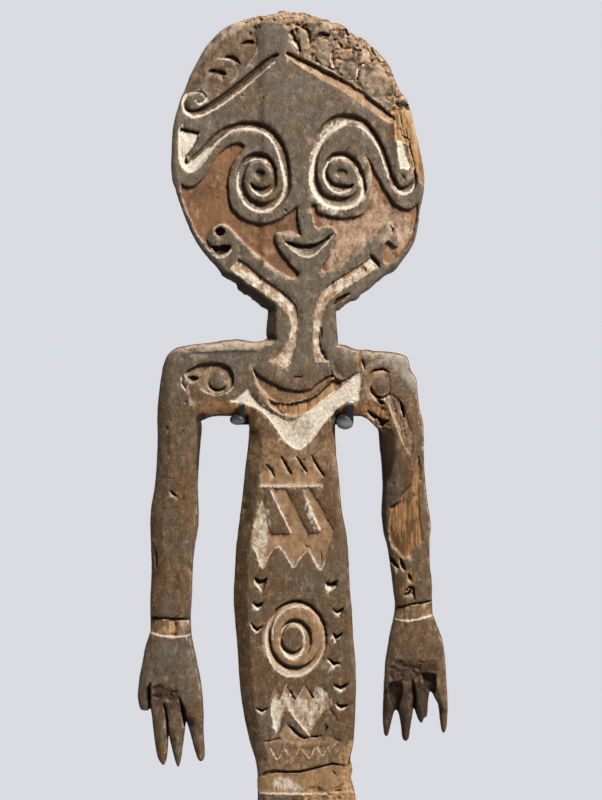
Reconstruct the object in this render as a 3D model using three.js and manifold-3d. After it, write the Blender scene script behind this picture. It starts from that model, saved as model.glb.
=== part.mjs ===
// Carved and painted wooden board figure on its steel cradle stand.
// Units are millimetres, Z is up and the carved face looks towards -Y.
// Outlines are drawn on a front elevation sheet at full size: u runs to the right and v runs down, both in mm.
import * as THREE from "three";
import Module from "manifold-3d";
import { mergeVertices } from "three/addons/utils/BufferGeometryUtils.js";

// Driving sizes
const SHEET_CENTRE = 297;
const PLATE_WIDTH = 340;
const PLATE_DEPTH = 240;
const PLATE_THICK = 10;
const PLATE_CORNER = 12;
const FIT_GAP = 0.3;
const SOLE_LINE = 1190;
const SHEET_TOP = SOLE_LINE + PLATE_THICK + FIT_GAP;
const FRONT_FACE = -20;
const BACK_FACE = 18;
const HAND_FRONT = -16;
const HAND_BACK = 14;
const HEAD_BEVEL = 4;
const BODY_BEVEL = 4.5;
const HAND_BEVEL = 2;
const GROUND_DEPTH = 5;
const GROOVE_DEPTH = 5;
const SHALLOW_DEPTH = 2.5;
const HOLE_DEPTH = 8;
const CUT_OVERRUN = 6;
const ROD_DIAMETER = 12;
const ROD_Y = 31;
const ROD_SOCKET = 7.5;
const BAR_HEIGHT = 16;
const BAR_FRONT = 20;
const BAR_BACK = 26;
const STRAP_THICK = 3;
const STRAP_FRONT = -27;
const SLEEVE_FRONT = -23.7;

const wasm = await Module();
wasm.setup();

// Turn readings on the sheet into front view points of the part.
function place([u, v]) {
  return new THREE.Vector2(u - SHEET_CENTRE, SHEET_TOP - v);
}

// Run a smooth line through a few control points.
function flow(points, steps = 3, closed = false) {
  const line = new THREE.CatmullRomCurve3(
    points.map(([u, v]) => new THREE.Vector3(u, v, 0)),
    closed,
    "centripetal"
  );
  const spans = closed ? points.length : points.length - 1;
  const made = line.getPoints(spans * steps).map((p) => [p.x, p.y]);
  if (closed) made.pop();
  return made;
}

// Walk an ellipse on the sheet, leaning by a few degrees.
function oval([u, v], [ru, rv], count = 28, lean = 0) {
  const turn = THREE.MathUtils.degToRad(lean);
  const points = [];
  for (let i = 0; i < count; i++) {
    const a = (2 * Math.PI * i) / count;
    const x = ru * Math.cos(a);
    const y = rv * Math.sin(a);
    points.push([u + x * Math.cos(turn) - y * Math.sin(turn), v + x * Math.sin(turn) + y * Math.cos(turn)]);
  }
  return points;
}

// Give a line a width: widths are spread evenly along it and blended between.
function ribbon(points, widths, steps = 3) {
  const line = flow(points, steps);
  const left = [];
  const right = [];
  line.forEach(([u, v], i) => {
    const before = line[Math.max(i - 1, 0)];
    const after = line[Math.min(i + 1, line.length - 1)];
    const du = after[0] - before[0];
    const dv = after[1] - before[1];
    const run = Math.hypot(du, dv);
    const t = (i / (line.length - 1)) * (widths.length - 1);
    const k = Math.min(Math.floor(t), widths.length - 2);
    const half = THREE.MathUtils.lerp(widths[k], widths[k + 1], t - k) / 2;
    left.push([u - (dv / run) * half, v + (du / run) * half]);
    right.push([u + (dv / run) * half, v - (du / run) * half]);
  });
  return left.concat(right.reverse());
}

// Turn a geometry into a closed solid.
function solid(geometry) {
  const bare = geometry.index ? geometry.toNonIndexed() : geometry.clone();
  bare.deleteAttribute("normal");
  bare.deleteAttribute("uv");
  const merged = mergeVertices(bare, 1e-3);
  return new wasm.Manifold(
    new wasm.Mesh({
      numProp: 3,
      vertProperties: merged.attributes.position.array,
      triVerts: new Uint32Array(merged.index.array),
    })
  );
}

// Raise a sheet outline into a slab between two depths, with an optional edge bevel.
function slab(outline, front, back, bevel = 0) {
  const shape = new THREE.Shape(outline.map(place));
  const geometry = new THREE.ExtrudeGeometry(shape, {
    depth: back - front - 2 * bevel,
    bevelEnabled: bevel > 0,
    bevelThickness: bevel,
    bevelSize: bevel,
    bevelOffset: -bevel,
    bevelSegments: 1,
  });
  geometry.rotateX(Math.PI / 2);
  geometry.translate(0, back - bevel, 0);
  return solid(geometry);
}

function box(x0, x1, y0, y1, z0, z1) {
  const geometry = new THREE.BoxGeometry(x1 - x0, y1 - y0, z1 - z0);
  geometry.translate((x0 + x1) / 2, (y0 + y1) / 2, (z0 + z1) / 2);
  return solid(geometry);
}

// A cutter that sinks a sheet outline into the front face.
function sink(outline, depth) {
  return slab(outline, FRONT_FACE - CUT_OVERRUN, FRONT_FACE + depth);
}

// Board outlines

const HEAD = flow(
  [
    [282, 10], [255, 17], [230, 24], [213, 38], [200, 56], [190, 74], [180, 98], [173, 127], [171, 155],
    [172, 180], [178, 200], [190, 230], [205, 254], [222, 274], [245, 294], [270, 311], [302, 318],
    [335, 311], [350, 302], [375, 284], [402, 261], [415, 240], [421, 210], [424.5, 180], [421, 153],
    [413, 118], [400, 91], [390, 66], [371, 46], [349, 31], [320, 18],
  ],
  3,
  true
);

const NECK_LEFT = [[268, 305], [266, 333]];
const SHOULDER_LEFT = flow([[257, 342], [226, 340], [196, 344], [175, 348], [165, 360], [159, 390], [157, 430]], 2);
const ARM_LEFT_OUTER = flow([[155, 480], [150.5, 520], [151, 570], [150, 622]], 2);
const ARM_LEFT_INNER = flow([[190, 622], [192, 570], [198, 515], [197, 480], [199, 445]], 2);
const ARMPIT_LEFT = [[201, 424], [211, 416], [248, 416]];
const TRUNK_LEFT = flow(
  [[249, 430], [243, 490], [236, 545], [233.5, 600], [238, 665], [247, 731], [256, 765], [257.5, 785], [257, 805]],
  2
);
const LEG_LEFT_OUTER = flow(
  [[250, 835], [246, 870], [249, 930], [252, 990], [248, 1045], [252, 1095], [257, 1140], [254, 1168], [249, 1190]],
  2
);
const LEG_LEFT_INNER = flow([[294, 1190], [293, 1172], [287, 1140], [289, 1095], [292, 1045], [290, 990], [295, 920]], 2);
const CROTCH = [[300, 893]];
const LEG_RIGHT_INNER = flow([[305, 920], [310, 990], [308, 1045], [311, 1095], [313, 1140], [307, 1172], [306, 1190]], 2);
const LEG_RIGHT_OUTER = flow(
  [[351, 1190], [346, 1168], [343, 1140], [348, 1095], [352, 1045], [348, 990], [353, 930], [358, 870], [357, 835]],
  2
);
const TRUNK_RIGHT = flow(
  [[354, 800], [351, 765], [354, 735], [356, 690], [352.5, 620], [347, 540], [340, 490], [335.5, 432]],
  2
);
const ARMPIT_RIGHT = [[335.5, 416], [364, 416], [378, 430]];
const ARM_RIGHT_INNER = flow([[382, 462], [382.5, 510], [388, 550], [394, 590], [394, 622]], 2);
const ARM_RIGHT_OUTER = flow([[434, 622], [431, 570], [430.5, 525], [425, 475], [423, 424], [417, 385], [409, 360]], 2);
const SHOULDER_RIGHT = [[392, 352], [350, 347], [338, 336]];
const NECK_RIGHT = [[336, 305]];

const BODY = [
  NECK_LEFT, SHOULDER_LEFT, ARM_LEFT_OUTER, ARM_LEFT_INNER, ARMPIT_LEFT, TRUNK_LEFT,
  LEG_LEFT_OUTER, LEG_LEFT_INNER, CROTCH, LEG_RIGHT_INNER, LEG_RIGHT_OUTER, TRUNK_RIGHT,
  ARMPIT_RIGHT, ARM_RIGHT_INNER, ARM_RIGHT_OUTER, SHOULDER_RIGHT, NECK_RIGHT,
].flat();

// Hands with flat fingers and a notch between each pair
const HAND_LEFT = [
  [152, 612], [150, 632], [143, 658], [138, 690], [139, 711], [149, 710], [154, 740], [158, 761], [163, 766],
  [166, 757], [168, 737], [172, 752], [177, 768], [181, 757], [186, 725], [192, 742], [198, 761], [204, 760],
  [203, 720], [199, 680], [194, 648], [190, 612],
];
const HAND_RIGHT = [
  [395, 612], [390, 637], [385.5, 667], [383.5, 705], [384, 733], [388, 736], [397, 712], [402, 739],
  [408, 741], [414, 711], [419, 724], [426, 720], [430, 693], [438, 708], [442, 732], [446, 732],
  [448, 700], [446, 667], [440, 636], [433, 612],
];

// Crown carving
const CROWN_GROOVE_LEFT = ribbon(
  [[277, 55], [262, 68], [245, 82], [225, 96], [207, 108], [194, 114], [186, 108], [188, 98], [197, 94], [204, 98], [199, 102]],
  [7, 10, 9, 8, 7, 5, 4]
);
const CROWN_GROOVE_RIGHT = ribbon([[290, 55], [312, 68], [335, 82], [358, 97], [380, 112], [394, 122]], [5, 9, 9, 6]);
const CROWN_POCKETS = [
  ribbon([[240, 44], [247, 42.5], [254, 44]], [2, 5, 3]),
  ribbon([[218, 58], [230, 56], [237, 62], [238, 70], [233, 79]], [2, 6, 5, 4, 3]),
  ribbon([[206, 72], [217, 71], [224, 76], [222, 87]], [2, 6, 4, 3]),
  ribbon([[189, 86], [201, 85], [213, 91]], [3, 6, 3]),
  ribbon([[291, 32], [296, 42], [300, 53]], [4, 6, 3]),
  ribbon([[304, 28], [309, 36], [310, 50]], [4, 5, 3]),
  ribbon([[310, 43], [318, 36], [327, 35]], [3, 5, 5]),
  ribbon([[333, 48], [333, 58], [338, 70]], [4, 5, 3]),
  ribbon([[373, 62], [361, 66], [357, 78]], [4, 6, 3]),
  ribbon([[394, 105], [402, 103], [409, 110]], [5, 7, 3]),
];

// Eyes: one spiral groove each, running down from the brow
const SPIRAL_LEFT = ribbon(
  [
    [190, 128], [184, 146], [184, 160], [189, 167], [197, 162], [207, 151], [220, 138], [236, 129], [252, 127],
    [268, 133], [279, 147], [285, 166], [287, 184], [281, 201], [264, 209], [248, 202], [240, 186], [242, 169],
    [252, 157], [265, 157], [273, 167], [275, 181], [265, 190.5], [252, 184],
  ],
  [20, 9, 8, 9, 9, 10, 9, 8, 8, 10, 11, 9, 8, 9, 5, 4, 8, 3]
);
const SPIRAL_RIGHT = ribbon(
  [
    [403, 140], [410, 160], [414, 180], [404, 193], [393, 184], [385, 163], [373, 139], [358, 121], [340, 121],
    [323, 135], [314, 155], [311, 178], [317, 198], [332, 206], [350, 205], [362, 194], [362, 176], [353, 159],
    [339, 154], [326, 162], [325, 177], [334, 187.5], [350, 187],
  ],
  [8, 7, 5, 7, 7, 8, 13, 11, 8, 9, 9, 9, 9, 7, 5, 5, 8, 3]
);
const EYE_PITS = [oval([259.5, 174], [5, 4], 10), oval([341.5, 173], [6, 4], 10)];

// Cheeks sunk below the brow, ring, lips and jaw bands
const CHEEK_LEFT = flow(
  [
    [180, 181], [190, 185], [203, 177], [213, 161], [228, 146], [243, 144], [238, 156], [230, 180], [234, 205],
    [250, 220], [275, 219], [296, 206], [299, 220], [300, 235], [284, 231], [275, 235], [281, 252], [299, 274],
    [292, 279], [265, 262], [241, 240], [224, 224], [211, 231], [206, 240], [194, 222], [183, 198],
  ],
  2,
  true
);
const CHEEK_RIGHT = flow(
  [
    [359, 149], [373, 163], [384, 185], [394, 201], [407, 208], [418, 204], [416, 228], [404, 250], [392, 260],
    [383, 262], [384, 244], [398, 241], [398, 225], [388, 222], [372, 242], [350, 263], [325, 272], [322, 267],
    [334, 247], [336, 231], [318, 227], [313, 215], [312, 207], [325, 214], [345, 217], [364, 211], [370, 195],
    [370, 172],
  ],
  2,
  true
);
const EAR_PITS = [
  oval([220, 232], [5, 5], 12),
  ribbon([[213, 246], [221, 251], [230, 246]], [5, 9, 3]),
];
const MOUTH = ribbon([[285, 242], [304, 248.5], [318, 245], [332, 234]], [2, 9, 8, 2]);

// Lime filled channels beside the neck band
const NECK_GROOVE_LEFT = ribbon([[234, 263], [262, 282], [288, 302], [295, 320], [292, 340], [277, 364]], [13, 13, 11, 8, 9, 15]);
const NECK_GROOVE_RIGHT = ribbon(
  [[374, 263], [350, 280], [328, 295], [319, 312], [318, 335], [322, 362]],
  [10, 11, 12, 9, 8, 14]
);

// Chest carving
const COLLAR_LINE = ribbon([[254, 369], [275, 388], [302, 394], [326, 382], [346, 378], [360, 371]], [4, 9, 11, 9, 5, 3]);
const NECKLACE = ribbon(
  [[233, 402], [255, 399], [275, 416], [300, 438], [322, 414], [343, 394], [361, 384]],
  [5, 12, 20, 26, 20, 12, 24]
);
const BREAST_LEFT = ribbon([[190, 371], [208, 366], [227, 369], [230, 384], [218, 394], [205, 388]], [9, 8, 9, 9, 7, 4]);
const BREAST_RIGHT = ribbon([[374, 372], [386, 373], [391, 386], [382, 396], [371, 392]], [5, 6, 6, 6, 4]);
const ARM_SCARS = [
  ribbon([[383, 404], [384, 420], [389, 448]], [11, 12, 8]),
  ribbon([[394, 395], [403, 420], [411, 455]], [12, 9, 6]),
];
const ARM_BARE_PATCH = flow(
  [[413, 472], [403, 494], [391, 510], [392, 543], [404, 557], [421, 543], [420, 515], [420, 480]],
  2,
  true
);

// Belly carving
const UPPER_TEETH = [
  [260, 476], [268, 465], [275, 474], [281, 457], [290, 472], [297, 457], [304, 471], [312, 457], [322, 476],
  [321, 484], [261, 485],
];
const UPPER_FIELD = [
  [262, 489], [310, 489], [334, 530], [331, 545], [322, 566], [308, 550], [294, 565], [280, 546], [274, 548],
  [263, 567], [252, 545], [255, 515],
];
const UPPER_BARS = [
  [[263, 487], [270, 487], [291, 533], [271, 534]],
  [[286, 487], [302, 487], [321, 532], [309, 534]],
];
const LOWER_TEETH = [
  [270, 704], [276, 685], [280, 699], [287, 685], [296, 699], [306, 684], [313, 698], [323, 686], [330, 696],
  [328, 709], [315, 724], [309, 736], [289, 709], [281, 712], [276, 733],
];
const LOWER_BAND = [[270, 741], [281, 737], [287, 725], [301, 738], [322, 736], [321, 741], [270, 746]];
const SMALL_TEETH = [
  [[270, 748], [284, 748], [277, 759]],
  [[286, 748], [299, 748], [293, 760]],
  [[302, 748], [314, 747], [309, 757]],
  [[317, 747], [329, 746], [322, 754]],
];
const MEDAL_CENTRE = [296.5, 637.5];
const MEDAL_OUTER = [31, 38];
const MEDAL_RING = [24.5, 30];
const MEDAL_INNER = [17, 21];
const MEDAL_BOSS = [10.5, 11.5];

// Chip cut chevrons beside the medallion: middle, width and height of each
const CHEVRONS = [
  [260, 583, 15, 13], [258, 607, 12, 9], [256, 628, 13, 11], [261, 711, 12, 8],
  [331, 584, 14, 11], [337, 611, 12, 10], [338, 638, 12, 14], [334, 661, 15, 11], [341, 687, 16, 9], [342, 706, 14, 7],
];

// A downward pointing chip with a notched upper side.
function chevron([u, v, wide, high]) {
  return [
    [u - wide / 2, v - high / 2], [u, v - high / 8], [u + wide / 2, v - high / 2], [u, v + high / 2],
  ];
}

// Waist belt and the hatched loin band under it
const BELT_TOP = 772;
const BELT_BOTTOM = 792;
const LOIN_BOTTOM = 832;
const HATCH_PITCH = 15;
const HATCH_WIDTH = 5;
const HATCH_LEAN = 12;

function loinHatching() {
  const cuts = [];
  for (let u = 264; u < 335; u += HATCH_PITCH) {
    cuts.push(ribbon([[u, BELT_BOTTOM + 6], [u + HATCH_LEAN, LOIN_BOTTOM - 4]], [HATCH_WIDTH, HATCH_WIDTH], 1));
  }
  return cuts;
}

// A level cut across a limb, from the front face and round the sides.
function limbCut(u0, u1, v, high, depth) {
  const z = SHEET_TOP - v;
  const x0 = u0 - SHEET_CENTRE;
  const x1 = u1 - SHEET_CENTRE;
  return box(x0, x1, FRONT_FACE - CUT_OVERRUN, FRONT_FACE + depth, z - high / 2, z + high / 2);
}

// Everything cut into the face, with its depth
const CUTS = [
  [GROOVE_DEPTH, [CROWN_GROOVE_LEFT, CROWN_GROOVE_RIGHT, SPIRAL_LEFT, SPIRAL_RIGHT]],
  [GROOVE_DEPTH, [NECK_GROOVE_LEFT, NECK_GROOVE_RIGHT, BREAST_LEFT, BREAST_RIGHT, MOUTH]],
  [GROUND_DEPTH, [CHEEK_LEFT, CHEEK_RIGHT]],
  [SHALLOW_DEPTH, [...CROWN_POCKETS, COLLAR_LINE, NECKLACE, ARM_BARE_PATCH, ...ARM_SCARS]],
  [SHALLOW_DEPTH, [UPPER_TEETH, LOWER_TEETH, LOWER_BAND, ...SMALL_TEETH, ...CHEVRONS.map(chevron)]],
  [SHALLOW_DEPTH, loinHatching()],
  [HOLE_DEPTH, [...EYE_PITS, ...EAR_PITS]],
];

function carvedFigure() {
  let figure = slab(HEAD, FRONT_FACE, BACK_FACE, HEAD_BEVEL);
  figure = figure.add(slab(BODY, FRONT_FACE, BACK_FACE, BODY_BEVEL));
  figure = figure.add(slab(HAND_LEFT, HAND_FRONT, HAND_BACK, HAND_BEVEL));
  figure = figure.add(slab(HAND_RIGHT, HAND_FRONT, HAND_BACK, HAND_BEVEL));
  for (const [depth, outlines] of CUTS) {
    for (const outline of outlines) figure = figure.subtract(sink(outline, depth));
  }
  let field = sink(UPPER_FIELD, SHALLOW_DEPTH);
  for (const bar of UPPER_BARS) field = field.subtract(slab(bar, FRONT_FACE - CUT_OVERRUN - 1, 0));
  figure = figure.subtract(field);
  const outerMoat = sink(oval(MEDAL_CENTRE, MEDAL_OUTER), GROOVE_DEPTH);
  const ring = slab(oval(MEDAL_CENTRE, MEDAL_RING), FRONT_FACE - CUT_OVERRUN - 1, 0);
  const innerMoat = sink(oval([295.5, 640], MEDAL_INNER, 20), GROOVE_DEPTH);
  const boss = slab(oval([293.5, 638], MEDAL_BOSS, 14), FRONT_FACE - CUT_OVERRUN - 1, 0);
  figure = figure.subtract(outerMoat.subtract(ring)).subtract(innerMoat.subtract(boss));
  figure = figure.subtract(sink(oval([193, 378], [4, 4], 10), HOLE_DEPTH));
  figure = figure.subtract(limbCut(140, 200, 618, 3, 7));
  figure = figure.subtract(limbCut(385, 445, 604, 3, 7));
  figure = figure.subtract(limbCut(250, 362, (BELT_TOP + BELT_BOTTOM) / 2, BELT_BOTTOM - BELT_TOP, SHALLOW_DEPTH));
  figure = figure.subtract(limbCut(240, 300, 1128, 3, 7));
  figure = figure.subtract(limbCut(300, 360, 1128, 3, 7));
  return figure;
}

// Stand

const HOOKS = [
  { strapU: 242, strapWide: 6, sleeveU0: 231, sleeveU1: 247.4, top: 416.6, bottom: 425, tip: 401.5, sleeveTop: 409.5 },
  { strapU: 350, strapWide: 7, sleeveU0: 336.4, sleeveU1: 356, top: 416.6, bottom: 428.5, tip: 400, sleeveTop: 407 },
];

function footPlate() {
  const w = PLATE_WIDTH / 2 - PLATE_CORNER;
  const d = PLATE_DEPTH / 2 - PLATE_CORNER;
  const shape = new THREE.Shape();
  shape.moveTo(-w, -d - PLATE_CORNER);
  shape.absarc(w, -d, PLATE_CORNER, -Math.PI / 2, 0);
  shape.absarc(w, d, PLATE_CORNER, 0, Math.PI / 2);
  shape.absarc(-w, d, PLATE_CORNER, Math.PI / 2, Math.PI);
  shape.absarc(-w, -d, PLATE_CORNER, Math.PI, 1.5 * Math.PI);
  const geometry = new THREE.ExtrudeGeometry(shape, {
    depth: PLATE_THICK - 2,
    bevelThickness: 1,
    bevelSize: 1,
    bevelOffset: -1,
    bevelSegments: 1,
    curveSegments: 6,
  });
  geometry.translate(0, 0, 1);
  const socket = new THREE.CylinderGeometry(ROD_DIAMETER / 2 + FIT_GAP, ROD_DIAMETER / 2 + FIT_GAP, 20, 32);
  socket.rotateX(Math.PI / 2);
  socket.translate(0, ROD_Y, PLATE_THICK - ROD_SOCKET + 10);
  return solid(geometry).subtract(solid(socket));
}

// The strap runs forward under the armpit and turns up in front of it.
function hookRun(hook, grow) {
  const x0 = hook.strapU - hook.strapWide / 2 - SHEET_CENTRE - grow;
  const x1 = hook.strapU + hook.strapWide / 2 - SHEET_CENTRE + grow;
  const middle = SHEET_TOP - (hook.top + hook.bottom) / 2;
  const z0 = middle - STRAP_THICK / 2 - grow;
  const z1 = middle + STRAP_THICK / 2 + grow;
  const run = box(x0, x1, STRAP_FRONT - grow, BAR_FRONT + 2, z0, z1);
  const upright = box(x0, x1, STRAP_FRONT - grow, STRAP_FRONT + STRAP_THICK + grow, z0, SHEET_TOP - hook.tip - 3);
  const tip = new THREE.CylinderGeometry((x1 - x0) / 2, (x1 - x0) / 2, STRAP_THICK + 2 * grow, 20);
  tip.translate((x0 + x1) / 2, STRAP_FRONT + STRAP_THICK / 2, SHEET_TOP - hook.tip - (x1 - x0) / 2);
  return run.add(upright).add(solid(tip));
}

function cradle() {
  const armLine = SHEET_TOP - 417;
  const foot = PLATE_THICK - ROD_SOCKET + FIT_GAP;
  const rod = new THREE.CylinderGeometry(ROD_DIAMETER / 2, ROD_DIAMETER / 2, armLine + BAR_HEIGHT / 2 - foot, 32);
  rod.rotateX(Math.PI / 2);
  rod.translate(0, ROD_Y, (armLine + BAR_HEIGHT / 2 + foot) / 2);
  const bar = box(239 - SHEET_CENTRE, 353.5 - SHEET_CENTRE, BAR_FRONT, BAR_BACK, armLine - BAR_HEIGHT / 2, armLine + BAR_HEIGHT / 2);
  let made = solid(rod).add(bar);
  for (const hook of HOOKS) made = made.add(hookRun(hook, 0));
  return made;
}

// The tubing is pressed flat under the armpit and opens to a round mouth in front of it.
function sleeve(hook) {
  const x0 = hook.sleeveU0 - SHEET_CENTRE;
  const x1 = hook.sleeveU1 - SHEET_CENTRE;
  const z0 = SHEET_TOP - hook.bottom;
  const z1 = SHEET_TOP - hook.sleeveTop;
  const mouthBack = FRONT_FACE - FIT_GAP;
  const run = box(x0, x1, mouthBack - 0.5, BAR_FRONT - FIT_GAP, z0, SHEET_TOP - hook.top);
  const mouth = new THREE.CylinderGeometry(1, 1, mouthBack - SLEEVE_FRONT, 28);
  mouth.scale((x1 - x0) / 2, 1, (z1 - z0) / 2);
  mouth.translate((x0 + x1) / 2, (mouthBack + SLEEVE_FRONT) / 2, (z0 + z1) / 2);
  return run.add(solid(mouth)).subtract(hookRun(hook, FIT_GAP));
}

// Colours of the plain model
const WOOD = new THREE.MeshStandardMaterial({ color: "#7d6a58", roughness: 0.85 });
const STEEL = new THREE.MeshStandardMaterial({ color: "#34363a", roughness: 0.5, metalness: 1 });
const TUBE = new THREE.MeshStandardMaterial({ color: "#8b9196", roughness: 0.4 });

function node(name, made, material) {
  const mesh = made.getMesh();
  const geometry = new THREE.BufferGeometry();
  geometry.setAttribute("position", new THREE.BufferAttribute(mesh.vertProperties, 3));
  geometry.setIndex(new THREE.BufferAttribute(mesh.triVerts, 1));
  geometry.computeVertexNormals();
  const result = new THREE.Mesh(geometry, material);
  result.name = name;
  return result;
}

const group = new THREE.Group();
group.add(node("figure", carvedFigure(), WOOD));
group.add(node("foot_plate", footPlate(), STEEL));
group.add(node("cradle", cradle(), STEEL));
group.add(node("sleeve_left", sleeve(HOOKS[0]), TUBE));
group.add(node("sleeve_right", sleeve(HOOKS[1]), TUBE));
export default group;
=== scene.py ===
# %% [markdown]
# # A carved board figure on its steel cradle
# The object is one flat board of hard wood, carved on its front into a standing figure and painted with
# lime and red ochre. A steel rod with two padded hooks holds it up from behind. The construction comes from
# the frame, and this lesson makes the surfaces: carving, chips, cracks, pigment and worn patina.

import bpy
import mathutils
import numpy as np
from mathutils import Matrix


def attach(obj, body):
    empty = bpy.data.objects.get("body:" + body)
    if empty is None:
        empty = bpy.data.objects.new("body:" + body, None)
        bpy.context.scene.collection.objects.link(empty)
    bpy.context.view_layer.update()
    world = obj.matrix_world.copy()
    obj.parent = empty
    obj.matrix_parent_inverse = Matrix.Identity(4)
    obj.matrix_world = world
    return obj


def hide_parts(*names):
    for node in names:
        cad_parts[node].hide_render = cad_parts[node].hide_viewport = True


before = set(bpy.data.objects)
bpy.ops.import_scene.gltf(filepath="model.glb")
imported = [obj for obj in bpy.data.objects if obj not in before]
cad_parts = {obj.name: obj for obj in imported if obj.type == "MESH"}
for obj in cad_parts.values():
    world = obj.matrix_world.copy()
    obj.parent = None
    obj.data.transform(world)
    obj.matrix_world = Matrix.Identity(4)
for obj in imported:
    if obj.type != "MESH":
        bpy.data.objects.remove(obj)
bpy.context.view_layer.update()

# %% [markdown]
# ## The front sheet
# Everything on the front is drawn on one full-size sheet, in millimetres: u runs right and v runs down from
# the top. Drawing flat first and giving depth afterwards is how a relief carver works too.

# %% Sheet helpers
SHEET_CENTRE = 297.0
SHEET_TOP = 1200.3
FRONT_FACE = -20.0
BACK_FACE = 18.0
MM = 0.001
# the board's first and last lines on the sheet
BOARD_TOP, BOARD_SOLE = 10.1, 1190.0
# how far round a shape its field is measured, and its value beyond that
MARGIN, OUTSIDE = 8.0, -60.0
# pairs of a point and a line measured at a time
MOST_PAIRS = 3_000_000
# noise: heights along each side of the lattice, and the weight each finer layer keeps
LATTICE, FADE = 256, 0.55


def spots(text):
    """Readings on the sheet: 'u,v' or 'u,v,width' groups in millimetres, as an array with one row each."""
    return np.array([group.split(",") for group in text.split()], float)


def flow(points, steps=6, closed=False):
    """A smooth line through the points: a cubic on each span, sloping at its ends as its neighbours lie."""
    p = np.asarray(points, float)
    if closed:
        a, b, c, d = (np.roll(p, k, 0) for k in (1, 0, -1, -2))
    else:
        full = np.vstack([2 * p[0] - p[1], p, 2 * p[-1] - p[-2]])
        a, b, c, d = full[:-3], full[1:-2], full[2:-1], full[3:]
    t = (np.arange(steps) / steps)[None, :, None]
    a, b, c, d = (x[:, None, :] for x in (a, b, c, d))
    line = 0.5 * (2 * b + (c - a) * t + (2 * a - 5 * b + 4 * c - d) * t**2 + (3 * b - a - 3 * c + d) * t**3)
    line = line.reshape(-1, p.shape[1])
    return line if closed else np.vstack([line, p[-1:]])


def nearest(uv, line, closed=False):
    """Distance from each point to a polyline, the nearest spot on it, and that spot's place along it."""
    start = line if closed else line[:-1]
    end = np.roll(line, -1, 0) if closed else line[1:]
    step = end - start
    length2 = np.maximum((step**2).sum(1), 1e-9)
    away, spot, where = [], [], []
    for part in np.array_split(uv, len(uv) * len(start) // MOST_PAIRS + 1):
        rel = part[:, None, :] - start[None]
        t = np.clip((rel * step).sum(2) / length2, 0, 1)
        foot = start[None] + step[None] * t[..., None]
        dist = np.hypot(part[:, None, 0] - foot[..., 0], part[:, None, 1] - foot[..., 1])
        k = dist.argmin(1)
        row = np.arange(len(part))
        away.append(dist[row, k])
        spot.append(foot[row, k])
        where.append(k + t[row, k])
    return np.concatenate(away), np.concatenate(spot), np.concatenate(where)


def enclosed(uv, ring):
    """True where a point lies inside a ring: a level ray from it crosses the ring an odd number of times."""
    a, b = ring, np.roll(ring, -1, 0)
    found = []
    for part in np.array_split(uv, len(uv) * len(ring) // MOST_PAIRS + 1):
        u, v = part[:, :1], part[:, 1:]
        spans = (a[:, 1] > v) != (b[:, 1] > v)
        rise = np.where(np.abs(b[:, 1] - a[:, 1]) < 1e-9, 1e-9, b[:, 1] - a[:, 1])
        crossing = a[:, 0] + (v - a[:, 1]) * (b[:, 0] - a[:, 0]) / rise
        found.append(((spans & (u < crossing)).sum(1) % 2).astype(bool))
    return np.concatenate(found)


def near_only(reach, ring, margin):
    """Measure only the points close to a shape; the others count as far outside it."""
    low, high = ring.min(0) - margin, ring.max(0) + margin

    def measured(uv):
        out = np.full(len(uv), OUTSIDE)
        close = ((uv > low) & (uv < high)).all(1)
        if close.any():
            out[close] = reach(uv[close])
        return out

    return measured


def ring_area(ring):
    """A closed outline as a field: the distance to its edge, positive inside."""

    def reach(uv):
        away = nearest(uv, ring, closed=True)[0]
        return np.where(enclosed(uv, ring), away, -away)

    return near_only(reach, ring, MARGIN)


def area(text, smooth=True):
    """A closed outline from readings, rounded through its points or with straight sides."""
    points = spots(text)
    return ring_area(flow(points, 5, closed=True) if smooth else points)


def between(one_edge, other_edge):
    """The area between two smooth edges that run the same way, with sharp corners at their ends."""
    return ring_area(np.vstack([flow(spots(one_edge)), flow(spots(other_edge))[::-1]]))


def band(text):
    """A line with a width at each reading as a field: half the width there less the distance to the line."""
    line = flow(spots(text))

    def reach(uv):
        away, _, where = nearest(uv, line[:, :2])
        return np.interp(where, np.arange(len(line)), line[:, 2]) / 2 - away

    return near_only(reach, line[:, :2], MARGIN + line[:, 2].max() / 2)


def bands(*texts):
    """A list of bands, one from each text."""
    return [band(text) for text in texts]


def areas(*texts, smooth=True):
    """A list of areas, one from each text."""
    return [area(text, smooth) for text in texts]


def oval(u, v, ru, rv):
    """An ellipse as a field: about the distance to its edge, positive inside."""

    def reach(uv):
        size = np.hypot((uv[:, 0] - u) / ru, (uv[:, 1] - v) / rv)
        return (1 - size) * min(ru, rv)

    return near_only(reach, np.array([[u - ru, v - rv], [u + ru, v + rv]]), MARGIN)


def eased(x, low, high):
    """0 below low, 1 above high and a smooth S between."""
    t = np.clip((x - low) / (high - low), 0, 1)
    return t * t * (3 - 2 * t)


def mottle(uv, size_u, size_v, seed, octaves=3):
    """Cloudy noise from 0 to 1: random heights on a lattice of the given cell, with finer ones added."""
    total, weight = np.zeros(len(uv)), 0.0
    for k in range(octaves):
        table = np.random.default_rng(seed + 17 * k).random((LATTICE, LATTICE))
        cell = uv / np.array([size_u, size_v]) * 2**k
        whole = np.floor(cell).astype(int)
        part = cell - whole
        part = part * part * (3 - 2 * part)
        i, j = whole[:, 0] % LATTICE, whole[:, 1] % LATTICE
        i1, j1 = (i + 1) % LATTICE, (j + 1) % LATTICE
        top = table[i, j] * (1 - part[:, 0]) + table[i1, j] * part[:, 0]
        low = table[i, j1] * (1 - part[:, 0]) + table[i1, j1] * part[:, 0]
        total += (top * (1 - part[:, 1]) + low * part[:, 1]) * FADE**k
        weight += FADE**k
    return total / weight


def shaken(uv, cell, seeds, octaves):
    """Noise from -0.5 to 0.5 for each way of the sheet, to shake a drawn line with."""
    return np.stack([mottle(uv, cell, cell, seed, octaves) for seed in seeds], 1) - 0.5


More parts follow.
